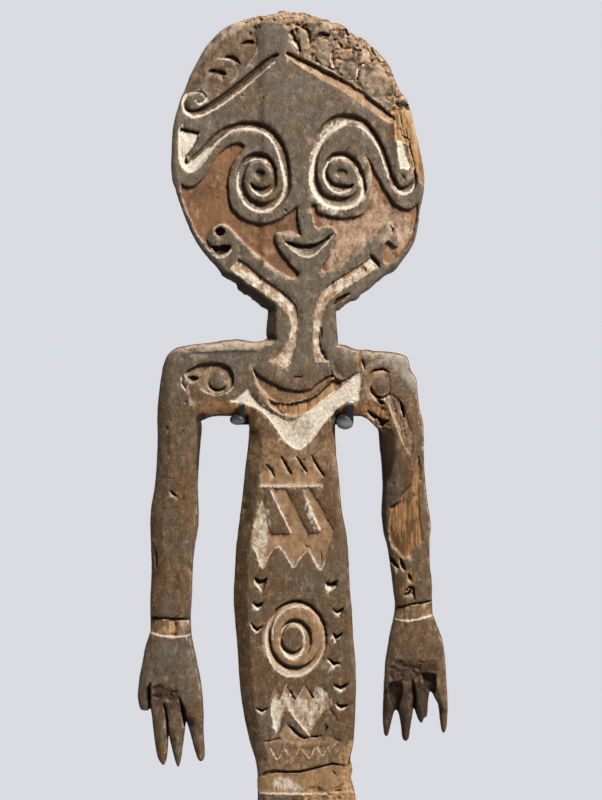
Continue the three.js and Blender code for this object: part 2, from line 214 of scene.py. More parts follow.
def torn_from(uv):
    """Where a torn or crumbled edge is read: each point moved by up to 1.7 mm either way."""
    return uv + 3.4 * shaken(uv, 4, (33, 39), 3)


def outward(along):
    """Unit steps to an outline's outer side, from its steps along."""
    return np.stack([-along[:, 1], along[:, 0]], 1) / np.maximum(np.hypot(*along.T), 1e-6)[:, None]


print("sheet helpers ready")

# %% [markdown]
# ## The outline of the board
# The silhouette is followed edge by edge, so that each corner stays sharp where the carver turned and each
# long side stays smooth. The crown is broken and crumbly, so a little noise roughens the line there.

# %% Board outline
HEAD_EDGE = (
    "268,310 259,304 251,298 243,293 239,290 236,284 232,281 227,278 222,275 219,270 215,265 205,254"
    " 197,243 190,230 184,215 181,207 178,198 175,188 172.3,180 171.3,172 171,163 171.5,150 172,137 173,127"
    " 175,117 178,107 180.5,98 184,90 187,82 190,74 194.5,65 200,55 205,46.5 212,38.5 220,30.5 230,24.5"
    " 243,19.5 255,16.5 268,14.5 277,13 281,9.5 286,10.5 292,12.5 300,12 310,14.5 320,17.5 328,19.5 331,23"
    " 338,22.5 345,26.5 350,31.5 356,35.5 362,37.5 367,40.5 371,45 376,49 381,54.5 387,61.5 390.5,67"
    " 393,73.5 396,82 400,90.5 405,96.5 409,104.5 412.5,117 416.5,135 420.5,152 423.5,168 424.5,180 423,196"
    " 420,210 418,226 415,240 410,250 402,261 395,270 386,274.5 375,284 362,293.5 357,299 348,302 343,307"
    " 336,311"
)
NECK_RIGHT_EDGE = "336,311 336.5,322 337.5,334 338,343"
SHOULDER_RIGHT_EDGE = "338,344 345,345 352,348 358,349.5 367,349.5 375,351 392,352 402,354.5 407,357 409,361"
ARM_RIGHT_OUTER = (
    "409,361 411,370 414,374.5 417,381 418,395 420,410 423.5,424 424,445 425,475 427.5,500 430.5,520"
    " 431,530 430,538 430,565 432,580 432.3,600 433,615"
)
HAND_RIGHT_EDGE = (
    "434,617 440,633 443.5,645 446,667 447.5,695 448,712 447,727 445,733 442.5,732 441,723 439,707 436,700"
    " 432.5,693.5 430,693 428.5,702 427.5,716 424.5,719 422,724 419,721 416.5,714 414.3,709.5 413,714"
    " 410.5,729 409,739 406,742 403,739 401.5,727 399.5,716 397,711.5 394,714 391,725 388.5,735 386,737"
    " 384,732 383.3,715 384,695 385.5,667 387,656 390,637 394,620"
)
ARM_RIGHT_INNER = (
    "395,614 395.5,604 394,593 391.5,572 388,548 384,532 382,513 383,492 383,480 381.5,460 380,445 379,432"
)
ARMPIT_RIGHT_EDGE = "379,432 377,428 372,423 367,418.5 362,416.5 353,416 336,416"
TRUNK_RIGHT_EDGE = (
    "335.2,419 335.2,430 335.5,440 336.3,455 338.5,475 340,490 342,512 346.5,535 348.5,558 350,590 352,612"
    " 353.5,640 355.5,662 356,690 355.5,705 354.5,730 353,746 350.5,757 351,764 352.5,771 351,779 353.5,789"
    " 355.5,798 356.5,815 357,835 358,870 353,930 348,990 352,1045 348,1095 343,1140 346,1168 351,1190"
)
LEG_RIGHT_INNER = "306,1190 307,1172 313,1140 311,1095 308,1045 310,990 305,920 300.5,893"
LEG_LEFT_INNER = "299.5,893 295,920 290,990 292,1045 289,1095 287,1140 293,1172 294,1190"
TRUNK_LEFT_EDGE = (
    "249,1190 254,1168 257,1140 252,1095 248,1045 252,990 249,930 246,870 250,835 257,805 257.5,785 257,770"
    " 254,756 250,744 247,731 244,717 240.5,693 238.5,668 237,645 235,622 233.7,606 233.7,590 235,565"
    " 236.5,543 240,515 243,490 245.5,465 247.5,450 249,430 248.5,421 247.5,416"
)
ARMPIT_LEFT_EDGE = "247.5,416 230,416 217,416 209,417.5 200.5,421"
ARM_LEFT_INNER = (
    "200.5,421 201,430 199,452 197.3,480 197.3,497 198,515 197,530 194,548 192,570 191,600 190,617"
)
HAND_LEFT_EDGE = (
    "190.3,628 191,638 193,648 195,656 197,668 200,682 202.5,705 203,735 204,750 204,758 201.5,762"
    " 198.5,761 196,756 192,742 189,731 186,723 184,732 181.5,752 179.5,764 177.5,768 175.5,764 173.5,757"
    " 171,747 168.3,736 167,748 165.5,761 163.5,766 160.5,764 157,757 154,740 152,722 150.5,710 147.5,711"
    " 143,711 139.5,708.5 137.3,697 138,688 139,678 141,668 143,658 145,647 148,638 150,632"
)
ARM_LEFT_OUTER = (
    "150,618 150,600 151,575 151,560 150,530 150,518 151,505 153,495 155,480 157,450 157,415 159,390"
    " 162,370"
)
SHOULDER_LEFT_EDGE = (
    "162,369 164.5,361 168,354 175,348.5 183,346 196,344 213,342 226,340 238,339 247,340.5 255,341.5"
    " 262,340.5 267,338"
)
NECK_LEFT_EDGE = "267,337 266,333 267,320 268,311"
EDGES = (
    HEAD_EDGE, NECK_RIGHT_EDGE, SHOULDER_RIGHT_EDGE, ARM_RIGHT_OUTER, HAND_RIGHT_EDGE, ARM_RIGHT_INNER,
    ARMPIT_RIGHT_EDGE, TRUNK_RIGHT_EDGE, LEG_RIGHT_INNER, LEG_LEFT_INNER, TRUNK_LEFT_EDGE, ARMPIT_LEFT_EDGE,
    ARM_LEFT_INNER, HAND_LEFT_EDGE, ARM_LEFT_OUTER, SHOULDER_LEFT_EDGE, NECK_LEFT_EDGE,
)


def board_outline():
    """All edges end to end, each nudged sideways by a little noise, more so along the broken crown."""
    ring = np.vstack([flow(spots(edge), 5) for edge in EDGES])
    keep = np.hypot(*(ring - np.roll(ring, 1, 0)).T) > 0.05
    ring = ring[keep]
    out = outward(np.roll(ring, -1, 0) - np.roll(ring, 1, 0))
    crown = eased(-ring[:, 1], -60, -15) * eased(ring[:, 0], 225, 260)
    sole = eased(ring[:, 1], 1180, 1188)
    nicked = eased(ring[:, 1], 268, 284) * (1 - eased(ring[:, 1], 306, 316))
    wobble = (mottle(ring, 3, 3, 3) - 0.5) * (0.5 + 2.4 * crown + 2.2 * nicked) * (1 - sole)
    ring = ring + out * wobble[:, None]
    ring[:, 1] = np.maximum(ring[:, 1], BOARD_TOP)
    return ring


BOARD = board_outline()
print("outline points", len(BOARD))

# %% [markdown]
# ## The carving
# The carver left the bands standing at the board's own face and cut the ground away round them. Each cut is
# a field that is positive inside it, with a depth and the width of its sloping wall. Where cuts meet, the
# deepest one wins, and what stands up inside a cut, such as an eye disc, is taken out of the cut's field.

# %% Face cuts: crown, brows and eyes
SPIRAL_LEFT = band(
    "182.5,148,7.5 183,157,8 186,164.5,10 191,166,12 198,158,13 206,150,12 213,142,11.5 222,134,11"
    " 235,127.5,10.5 250,125.5,10.5 263,128,10.5 273,135,10 281,147,9.5 285.5,163,9 287,178,9 286.3,188,9"
    " 281.5,198,11 273,205.5,12 263,207.5,12.5 253,204.5,11.5 245,197,10 240.5,187,9.5 240.5,176,9.5"
    " 244,165,10 250.5,158.5,10.5 258.5,156.5,10.5 266.5,159.5,10 272,166,8 274.3,175,6.5 274.3,183,6.5"
    " 270.5,189,9 263,191.5,10 255.5,188.5,8 250,183,2.5"
)
SPIRAL_RIGHT = band(
    "414.5,171,3 415,180,5.5 411,187.5,8.5 404,190.7,9.5 398,188.5,9 393.3,181,8 388.5,168,6.5 383,152,7"
    " 376.5,139,8 368.5,128,9 359,121.5,11 347,119.8,13.5 336,122,14 326,130,13.5 318.5,142,11.5 314,156,10"
    " 313.3,170,9.5 315,184,10 320,194.5,11 329.5,201,12.5 343,203,13 354,200,12 361,192.5,11 361.5,182,9.5"
    " 359,171,8.5 354,162.5,9 345.5,156.5,10 336,156.5,9 329,161,7.5 325.5,169,6 326.8,178,6.5 332.5,185.5,9"
    " 340.5,188.5,11 347.5,188,8.5 353,184.5,2.5"
)
POCKET_LEFT = area(
    "179.5,127 190,129 200,131 198.5,138 195,146 191,152 187,158 181,158 179,148 178.8,137", False,
)
POCKET_RIGHT = area(
    "396.5,128 404,130 407,142 411,158 413,168 409.5,171.5 404,168.5 399.5,168.5 397.5,155 396.5,140"
)
CROWN_CHANNEL_LEFT = band(
    "277,55,4 268,62,7 256,72.5,10 245,82.5,11 232,92.5,11 220,101,10.5 208,108.5,10 198,112.8,9 190,112.5,8"
    " 185,107,6.5 184.7,100,5.5 188.5,94.3,5 195,91.7,4 202.5,93,4 205.5,98,4 201.5,102.5,4 196,102,2.5"
)
CROWN_CHANNEL_RIGHT = band(
    "288,54,6 298,60.5,8 312,68,10 326,76,11 340,83,11 354,92,11.5 368,102,11 380,111,11 391,119,9"
)
HAIR_FIELD = area(
    "255.5,31 256.5,45 252,55 246,63 236,76 224,90 213,97 207,92 196,84 189,89 187,84 196,66 209,48 226,36"
    " 243,30"
)
LOCKS = bands(
    "239,44.2,0.8 244,42.8,3.8 249,41.8,5.4 252.5,42.2,5 254.2,43.4,1.5",
    "223,56.8,0.8 228,56.4,4.2 233,57.6,5.8 237,60.2,5 239.6,63.2,2",
    "207,71.2,0.8 212,70.8,4.8 218,71.4,6 223,72.8,5 225.8,74,2",
)
LOCK_CURLS = bands(
    "254.6,33,2 255.6,42,3.5 253.6,52,3.5 248,59,3.5 242.5,64.5,2",
    "234.5,62,2.5 236.8,69,4.5 234.5,77,4 230,82,2", "222.5,75,3 222.8,82,3.5 218.5,93,2.5",
)
CROWN_CUTS_RIGHT = bands(
    "291,31,3.5 293.5,38,4.5 298,45,4.5 300,54,3", "302,27,3 306.5,30,4.5 309,37,5 309.5,46,3",
    "310.5,43,4 316,38.5,5 321,34.5,7 327.5,35.5,4", "339,43,3 341,46,4 340,50,2",
)
CROWN_SCARS = bands(
    "332,47,3 332.5,56,4.5 334.5,65,3 338,70,2", "370,61.5,2.5 362,64.5,4.5 358.3,71,4.5 357,79,3",
)
EYE_PITS = [oval(259.8, 173.5, 5.8, 4.8), oval(341.5, 172.8, 6.6, 4.8)]
KNOB_PIT = band("401.5,174,1 403.5,177,3 405.5,179.5,1")

# %% Face cuts: cheeks, ears and mouth
CHEEK_LEFT = between(
    "179,178.5 182,183.5 187,185.5 193,185 198,182 203.5,176.5 208.5,169 213.5,159.5 219.5,151.5"
    " 226.5,145.8 234.5,142.6 241,142.3 245,145.5 241.5,151.5 236.5,158 232.3,165.5 229.8,174 229,184"
    " 229.6,196 232,205.5 237,212 244,217.5 252,221 261,222.5 270,221.5 280,217.5 289,211.5 297.5,204.5",
    "180.8,181 180.6,188 182.8,199 186.4,210 190.8,221 196,231.5 203.2,241.2 209,234 212.5,228.5 218,224.8"
    " 224,224.4 230,228 237,235.5 246,244.5 256,253.5 266,262 276,269.7 286,275.5 295,279 299.5,274"
    " 295,267.5 288,260 281.5,252 277.5,244 275,235.3 282.5,231.2 290,231.2 296,234 301.3,235.5 299.5,226"
    " 298.3,216 297.8,207",
)
CHEEK_RIGHT = between(
    "357,147.5 364,153 371,162 377.5,174 383.5,185 389.5,195 396,203 403,207.5 410,208 415.5,204.5"
    " 418.5,200",
    "364,152.5 369,163 371.3,176 371,190 370,200 366,209.5 357.5,215 345,217 334,216.3 324.5,213.6"
    " 318,209.7 316.2,204 310.5,204.5 312.5,215 316.3,227.5 325,225.6 332.5,226.5 337,232 336.8,239"
    " 333.5,247.5 328.5,257 322,265.5 321.5,269 325,272.3 333,268.8 343,261.8 353,253.8 363,245.2"
    " 371,238.4 378,232 384,225.4 389.5,221.8 393,226 397,230 399.5,240 396,246 389,240.5 384.5,243.5"
    " 383,253 385,262 393,262.3 402,254 409.5,243.5 414,233 417,219 418.5,208",
)
EAR_PITS = [
    oval(220, 231.5, 5.2, 4.8),
    band("213,247,4 219,250,9.5 226,248,8 231,245.5,1.5"),
]
EAR_NICKS = bands("206.5,240,2 209,246,5 213.5,250,4", "390.5,225.5,1.2 393,229,3.4 392,232.5,2.4")
JAW_NOTCHES = [band("370,254.5,2 373,258.5,5.5 377,263,5 379.5,267,2"), oval(363.5, 269.5, 3.4, 4.2)]
JAW_BREAK = band("334,304,2 338,300,4.6 343,297,4.6 348.5,293.5,2")
MOUTH = between(
    "283.5,240.5 290,241.5 298,243.4 306,244 314,243.2 322,239.7 329,235 334,231.7",
    "284,241.5 289,246.5 295,251 301,254 308,255.6 314,254.2 320,248.5 327,242 333.5,233",
)

# %% Neck, collar and breast cuts
NECK_CHANNEL_LEFT = between(
    "238,257.5 250,265.3 262,275 275,285 287,294 295.5,302.5 298.6,313 299,325 297,340 293.5,355 290.5,364"
    " 286,369",
    "229.5,269 243,280 255,287.5 265,295 276,302.5 285,311.5 290,320 291,329 288,339 281.5,350 274,356.5"
    " 268,361",
)
NECK_CHANNEL_RIGHT = between(
    "371,256 362,262 350,269.8 340,276.4 331,282.6 323,290.5 317.5,300 315,311 313.3,323 312.8,335"
    " 313.7,350 315,362.3",
    "380,266 365,276.3 352,284.3 343,290 334.5,296.5 328.3,304 324.7,314 322.7,323 320.3,331 321,341"
    " 324.5,352 330,362",
)
THROAT_LEDGE = between(
    "251.5,365.5 258,373 270,380.3 282,386.2 292,389 302,390 310,388 317,383.2 325,377.3 333,373.2",
    "251.7,366.5 254,375 259,385 264,393 270,399 278,402.5 287,403.5 297,401.5 307,398.7 316,394 325,386"
    " 333.5,377",
)
CHEST_BREAK = area(
    "268,398 276,402 287,403 297,401.5 308,398.5 318,393 326,385.5 334,378.5 343,382 338,391 327,400.5"
    " 314,409.5 301,414.5 290,416 279,412.5 270,406",
    False,
)
NECKLACE = between(
    "230,400 240,395.5 248.5,388 253.5,395.5 260,402.5 268,408.5 277,413.5 286,418.5 294,419.5 302,414.5"
    " 311,409 320,401.5 331,393.5 341,386.5 350,379.5 356,374.5 362.5,372",
    "231,402.5 243,403.5 255,407.5 265,414.5 272.5,423.5 280,434.5 287,443 293.5,448 300,449.5 307,445.3"
    " 315,436.3 322.5,426.3 330.3,417 338,408.5 346,402.3 352,399.5 359,400.3 360.3,390 362,375",
)
BREAST_LEFT = area(
    "183.5,374 189,368.6 199,364 211,361.8 223,362.8 230.5,368 234.5,377 233.5,386.5 226.5,392 216,394.8"
    " 206,391.8 200,389.5 198,382 193.5,384.5 187,379.5"
)
BREAST_LEFT_BOSS = oval(218, 379.8, 9.2, 9.2)
BREAST_HOLE = band("189.5,377.5,4 193,378.5,7.5 196.5,378,4.5")
BREAST_LEFT_LIP = band("182,376,2 181.5,383,3 186,389.5,2")
BREAST_RIGHT = oval(380, 384, 11.6, 15.6)
BREAST_RIGHT_BOSS = oval(380.3, 385.3, 8.6, 8.6)
BREAST_SHADES = bands(
    "207.5,381,1 209.5,386,3 214,389.8,3.8 219.5,390.6,3.8 225,388,3 228.5,382.5,1",
    "370,374.5,1 374,370.8,3.4 380,369.2,3.6 386,370.4,3 390,373.5,1",
    "370.6,385,1 371.4,391,4 375.5,396,4.6 382,397.5,4 388,394.5,2.4 390.4,390,1",
)
SHOULDER_SOFT = band("188,354.5,1 205,353.2,3.2 225,352.4,3.6 245,352,3 260,353,1")
LUMP_FOOT = [band("331,370,1 333.5,376,2.6 338,380.6,3 343,381.4,3 350,378,2.6 357,371.5,1.2")]
THROAT_NICK = band("293.5,376.5,1 298,377.3,3 303,376.2,1")
SHOULDER_CRACK = band("362.3,359,1 363.5,364,2.5 365,369.5,1")
SHOULDER_STRIP = area("356.3,350 361.8,350 361,360 361.8,372 357,371.5 357,360", False)

# %% Belly cuts
UPPER_TEETH = area(
    "260,474 264.5,470 268.5,464.5 272,469.5 275.5,474.5 278,465 281,456.5 285.5,466 290,473 292.5,472"
    " 294.5,463 297,456 300,464 303,471.5 306.5,470.5 308.5,463 311,456 317,466 323.5,476.5 322.5,484"
    " 300,484.5 261.5,485.8",
    False,
)
UPPER_FIELD = area(
    "261.5,488.3 285,488 310,487.5 321,505 334,530 332.5,540 328,551 323.5,563 320.5,569 314.5,559"
    " 308,549.5 301,556.5 294,566 287,556 280,546.5 274.5,548 269,558 263,568 257.5,556.5 251.5,543.5"
    " 252.5,529 256,514.5 261.5,501 263,497",
    False,
)
UPPER_BARS = areas(
    "262,484 269,484 291,533 271,533.5 265,504", "284,484 301.5,484 320.5,531.5 315,532.5 309.5,533.7",
    smooth=False,
)
MEDAL_MOAT = oval(296.5, 637.5, 31.5, 38.5)
MEDAL_RING = oval(296, 635.5, 25, 30)
MEDAL_WELL = oval(295.5, 639.5, 17.2, 21.5)
MEDAL_BOSS = oval(293.5, 638.5, 10.8, 11.5)
LOWER_TEETH = area(
    "270,704 271.5,695 276.5,684.5 280.3,699.5 283,692 286.8,684.5 291.5,692 295.8,699.5 300,692.5"
    " 306,683.5 310,690.5 313.3,698 317.5,692.5 323,685.5 327.5,691 330.5,697.5 331.5,706 324,711.5"
    " 316,724 309.5,735.5 300,722.5 289.5,709 282,713.5 280,723 276.3,733.5 272.5,721 270,712",
    False,
)
LOWER_STEP = area("286,722.5 293,729 301,736 309,737.5 322,734.5 325,741.5 302,745 286,742 279,735.5", False)
LOWER_LINE = band("263,741,1 270,740.7,2.5 280,738.3,2.5")
SMALL_TEETH = areas(
    "270,747.5 284,748 281,753 277.2,759.5 273,754", "285.5,748 299,748 296,754 292.5,760 289,754",
    "301.5,748.5 314.5,746.5 312,752 309.3,757.5 305,753",
    "317,746.5 328.5,745.5 326,750 322.5,754.5 319.5,750", smooth=False,
)
CHEVRONS = areas(
    "253.9,576.6 260.5,579.6 268.6,576.8 266.5,583.5 262.3,592.3 256.5,586.5 253.6,581.5",
    "251.2,601.2 257.8,603.4 263.8,601.6 262.3,606 258.4,611.5 253.3,606.5",
    "249.4,622.2 257,627.6 263.8,624.6 261.5,628.8 257,633.4 251.6,628.4",
    "254.6,706.8 262,709.3 267.9,706.8 266.4,710.6 262.5,714.6 257,710.6",
    "325,581 331.4,582.4 337.9,579.2 337,586 330.5,592.3 325.3,588",
    "332,607.6 337.7,610.4 344.2,606.4 343,611.5 339.6,617.6 334.4,612.6",
    "332.3,631 337.2,634.6 343.4,631.2 340.5,637.5 335.6,645.4 333,638.5",
    "326,656.4 333.2,660.6 341.8,662.2 338,665 332.9,667.4 328.6,662",
    "332.3,682.8 341.2,686 349.6,682 347,687.6 341.6,692.2 335,687.6",
    "334.4,702 341.3,704.2 349.6,704.4 346,708 341,710.8 336.6,706.6", smooth=False,
)
TOOTH_CUTS = bands(
    "266.5,464.5,2 270.5,469.5,3 274.5,475.5,2", "281.5,457,2 286,465,3.2 290.5,473.5,3",
    "297,457,2 301.5,464.5,3.2 306.5,471.5,3.4", "311.5,456,2 317,465,3.4 323.5,475.5,3",
    "287,686,1.4 291,693,2.2 295.5,699.5,1.6", "305.5,685,1.4 309.5,692,2.2 313.5,698.5,1.6",
)
TOOTH_LEFTS = bands(
    "261.5,473,0.8 266,468,1.6 269.6,464.8,1.2", "274.8,475,0.8 278,466,1.6 280.8,458.2,1.2",
    "290.4,472.5,0.8 294,465,1.8 297.2,457.6,1.2", "306.6,471.5,0.8 309,463,1.6 311.4,455.4,1.2",
    "276,700,0.8 280,693,1.4 283,687,0.8", "296.2,699,0.8 300.6,692,1.4 304.6,685.4,0.8",
)
STEP_CUTS = bands(
    "287.5,724,1.6 294,731,4 302,737.3,3.6 308.5,738,2", "310,737,1.6 316,737,2.6 321.5,735.6,1.6",
)
THIN_LINE = band("327.5,705,1 333,713.5,1.8 338.5,722.5,1")
BELT_SHADE = band(
    "262,776,2 266,774,6 275,771.5,4.5 290,772.3,4 305,770.8,4 320,767.3,3.5 333,764.3,3.5 342,766,2"
)
BELT = between(
    "256,775 275,773 290,774 305,772 320,768.5 333,765.5 352,764", "256,792 290,794 327,793 358,791",
)
LOIN_CUTS = [band(f"{u},797,1 {u + 6},810,5 {u + 12},826,1") for u in range(262, 346, 15)]

# %% Wounds, pits and cracks
WRIST_CUTS = bands(
    "150,618,2.5 160,618.3,3 175,618.5,2.5 190,619.5,3",
    "393,607.5,2 401,607,3 410,604.8,2.5 421,603.3,3 433,601,2.5", "256,1128,2 270,1128.6,2.6 288,1128,2",
    "312,1128,2 330,1128.6,2.6 345,1128,2",
)
WRISTS = areas(
    "147,618.5 160,619 175,619 192,620 192,634.8 180,636.6 168,636.6 158,634.8 147,631.5",
    "391,608.5 401,608 410,605.8 421,604.3 435,602 437,614 424,617.6 412,620 402,620.2 391,618.6",
    smooth=False,
)
FINGER_CUTS = bands(
    "167.6,740,3 167,725,4 165.5,712,3.5 164,703,2", "185,726,4.5 183.5,715,6 181.5,706,5 179,698,2.5",
    "396,716,4 396,706,8 395,696,9 394,686,7", "414,713,4 414.5,702,6 414,692,5.5 412.5,681,3.5",
)
HAND_HOLLOWS = [
    band("149.5,714,3 149,706,5 148.3,697,6 148,690,5 150,684,3"),
    *areas(
        "421,675 428,672.5 436,674 437,684 435.5,694 430,694 425.5,688",
        "388,684 396,680.5 402.5,684 403,694 400.5,704 397,711 392,706 389,698",
    ),
]
KNUCKLES = areas(
    "152,686 160,683 170,687 178,690 180,698 174,703 166,700 158,702 152,697",
    "392,662 402,659 414,661 426,660 437,663 438,671 428,674 418,680 404,684 392,680 389,670",
)
FINGERS_BELOW = areas(
    "150,700 158,699 168,704 178,702 185,709 192,717 206,735 206,770 150,770",
    "380,692 390,688 402,690 412,684 421,680 437,700 452,716 452,745 380,745",
)
HAND_BOSS = [oval(165, 660, 16, 17), oval(415, 643, 18, 16)]
PALE_SPLINTER = area(
    "385,391 392,393 399,398 406,410 410,425 414,440 412,455 407,452 401,437 395,421 389,407 384,399"
)
ARM_SLOT = band("400.5,402,2 402.5,409,3.6 404,417,2")
SPLINTER_RIDGE = band("387,396,1.5 390,408,2.6 396,425,3 402,442,2.6 407.5,453,1")
ARM_KNOT = oval(382.3, 424.6, 2.8, 2.6)
STUB = area("364,405 372,402 380,405 388,411 391,422 389,431 383,432 376,425 369,417 363,412")
STUB_HOLES = bands(
    "379.5,419.5,4 383.5,421.8,6.4 386.8,421,3.5", "368.5,411.5,2 374,415.5,4.4 379,418.6,3",
    "377.5,399,2 381,402.4,4.4 384,403.6,2",
)
ARM_BARE = area(
    "417,456 415,466 413.3,476 411.3,485 407,488 403.8,492 401,498 398.5,502.5 394,503.5 391,506 390.5,514"
    " 389.3,522 389,530 390,539 392,545.5 396,549.5 400,555 403.5,558.5 407,556.5 411.5,555.5 413.5,551"
    " 417,547 420,544.5 423.5,541.5 422.6,534 422,527 420.4,515 419.2,500 419.5,485 419.6,470 418.6,461",
    False,
)
ARM_TEARS = bands(
    "412,484,1.5 408,488,3 404,492.5,2.6 401,498,2.4",
    "400,502.5,1.5 396,504.5,3.4 391.5,506.5,2.6 390,509,1", "418.6,456,1.2 419.6,466,2 420.2,480,1.4",
    "391.6,526,1.5 392.4,532,3.6 395,538,3 397,542,1",
    "399.6,528,1.5 401.6,532,3.6 404,536.5,3 405.5,540,1", "396.5,508,0.6 398.5,516,1.6 399,526,0.8",
)
CROWN_CRUST = area(
    "233,23 250,15 266,11 282,6 300,8 320,13 345,20 352,29 345,31 331,24 320,23.5 308,26 300,30 292,35 287,30"
    " 283,24.5 270,22 255,22.5 245,24"
)
CROWN_ROT = area(
    "288,33 296,27 308,24 330,22 345,23 358,32 374,42 388,54 397,68 403,84 412,98 414,106 404,110 396,112"
    " 391,112.5 381,104 368,95 354,85.5 340,76.5 334,71 326,68 312,60.5 300,53.5 292,50 290,42",
    False,
)
CROWN_LEFT_STANDING = areas(
    "300,31.5 305,30 308,38 309.5,48 309.5,57 304,55 300.5,49 299.5,40",
    "304.5,27 312,24.5 329,23.5 331,33 326,33.5 319,34 313,39 310.5,41 309,34 306,29",
    "316,44 322,40.5 333,40 331.5,50 329.5,58 331.5,67 323,63.5 317,58 318,51",
    "340,64 347,57.5 354,58 357.5,64 357,73 351,79.5 345,77 339,71",
    "359.5,68.5 366,65 379,66.5 389.5,74 391.5,83 388,92 384.5,98 377,96 367,92 361,85 358,76",
    "366,92.5 374,92.5 384,99 394,106 391.5,111 380,103.5 369,96.5",
    "288,33 292,37 293,43 297,49 298,52 292,50 289,44", smooth=False,
)
RIM_BARE = area(
    "391.5,112 396,105 403,108 409,103 416,120 424,150 428,182 420,181 416,177 412,170 409.5,160 408.5,148"
    " 404,141.5 396.6,140.5 395.2,128 393,118"
)
ARM_HOLES = bands(
    "400.5,559,2 402.5,565,4.4 404.5,570,2", "390.5,557,1.5 393.5,562,4 398,568,2",
    "408.3,574,2 409.6,577.5,3.8 411.3,580.5,1.6", "409,587.5,3.4 413,588.5,3.2 414,594,2.6 414.6,600,1.4",
    "405.5,594.5,2.4 408.5,593.5,3 411,590.5,2",
)
CRACKS = bands(
    "371.5,43,0.8 372,50,2.6 376,55.5,1", "401,132,1 404,136.5,2.2 410,140,1",
    "396,103.5,2 400,105,5.5 404,103,5 407,108,4 409.5,109.5,1.5", "405,128,0.6 411,150,1.6 417,176,0.8",
    "399,112,0.6 402,124,1.4 401.5,133,0.8", "346,27,1 346.5,32,2.4 349,36,1",
    "154,545,0.8 156,556,2 157,570,0.8", "169,490,0.8 173,494,3 177,497,1.2",
    "308,402,0.8 307.5,410,1.8 309,416,0.6", "275,401,0.8 278,408,2 283,413,2.4 288,409,0.8",
    "286,405,1 297,402.5,2.6 305,401,1", "330,790,0.8 338,787,2 347,782,0.8",
    "317,783,0.6 318.5,788,1.8 317.5,793,0.6", "331,770,1 334.5,773,3 336.5,775.5,1",
    "325,724,1 326.5,727,2.6 325.5,731,1", "334,737,0.8 338,740,2.2 341,740.5,0.8",
    "320,549,0.8 322,557,2 320.5,564,0.8", "304,541,0.8 306,546,2 310,547.5,1.6 315,553,0.8",
    "285,300,0.5 292,307,1 296,318,0.5", "319,326,0.8 321.5,331,2.4 321,338,0.8",
    "284,208,0.6 285.5,210.5,2 287,212,0.6", "402,420,0.6 405,432,1.4 409,450,0.6",
    "392,398,0.6 396,412,1.4 403,437,0.6", "352,748,1 351,756,3 347,768,1",
)
PITS = [
    oval(u, v, r, r)
    for (u, v, r) in spots(
        "263,98,1.3 242,95,1.2 248,84,1 252,81.5,1.2 291,186,1.1 167,428,1.3 183,431,1.3 186,402,1.5"
        " 409,577,1.6 407,590,1.8 413,593,1.8 410,588,1.3 304,460,1 318,597,1 320,594,0.9 255,27.5,2.6"
        " 259,26,1.6 334.5,39.5,1.4 408,147,1.4 404,153,1 386,72,1.6 357,45.5,1.6 364,47,1.6 250,33,2"
        " 348,38,1.4 353,52,1.5 360,50,1.4"
    )
]
print("cuts drawn")


# %% [markdown]
# ## Where the paint goes
# Scored lines were filled with lime, and lime also lies along the lower lips of the grooves and in the neck
# channels. Red ochre fills the cheeks, a thin buff wash the belly fields, and bare wood shows where rot or
# a blow took the face.

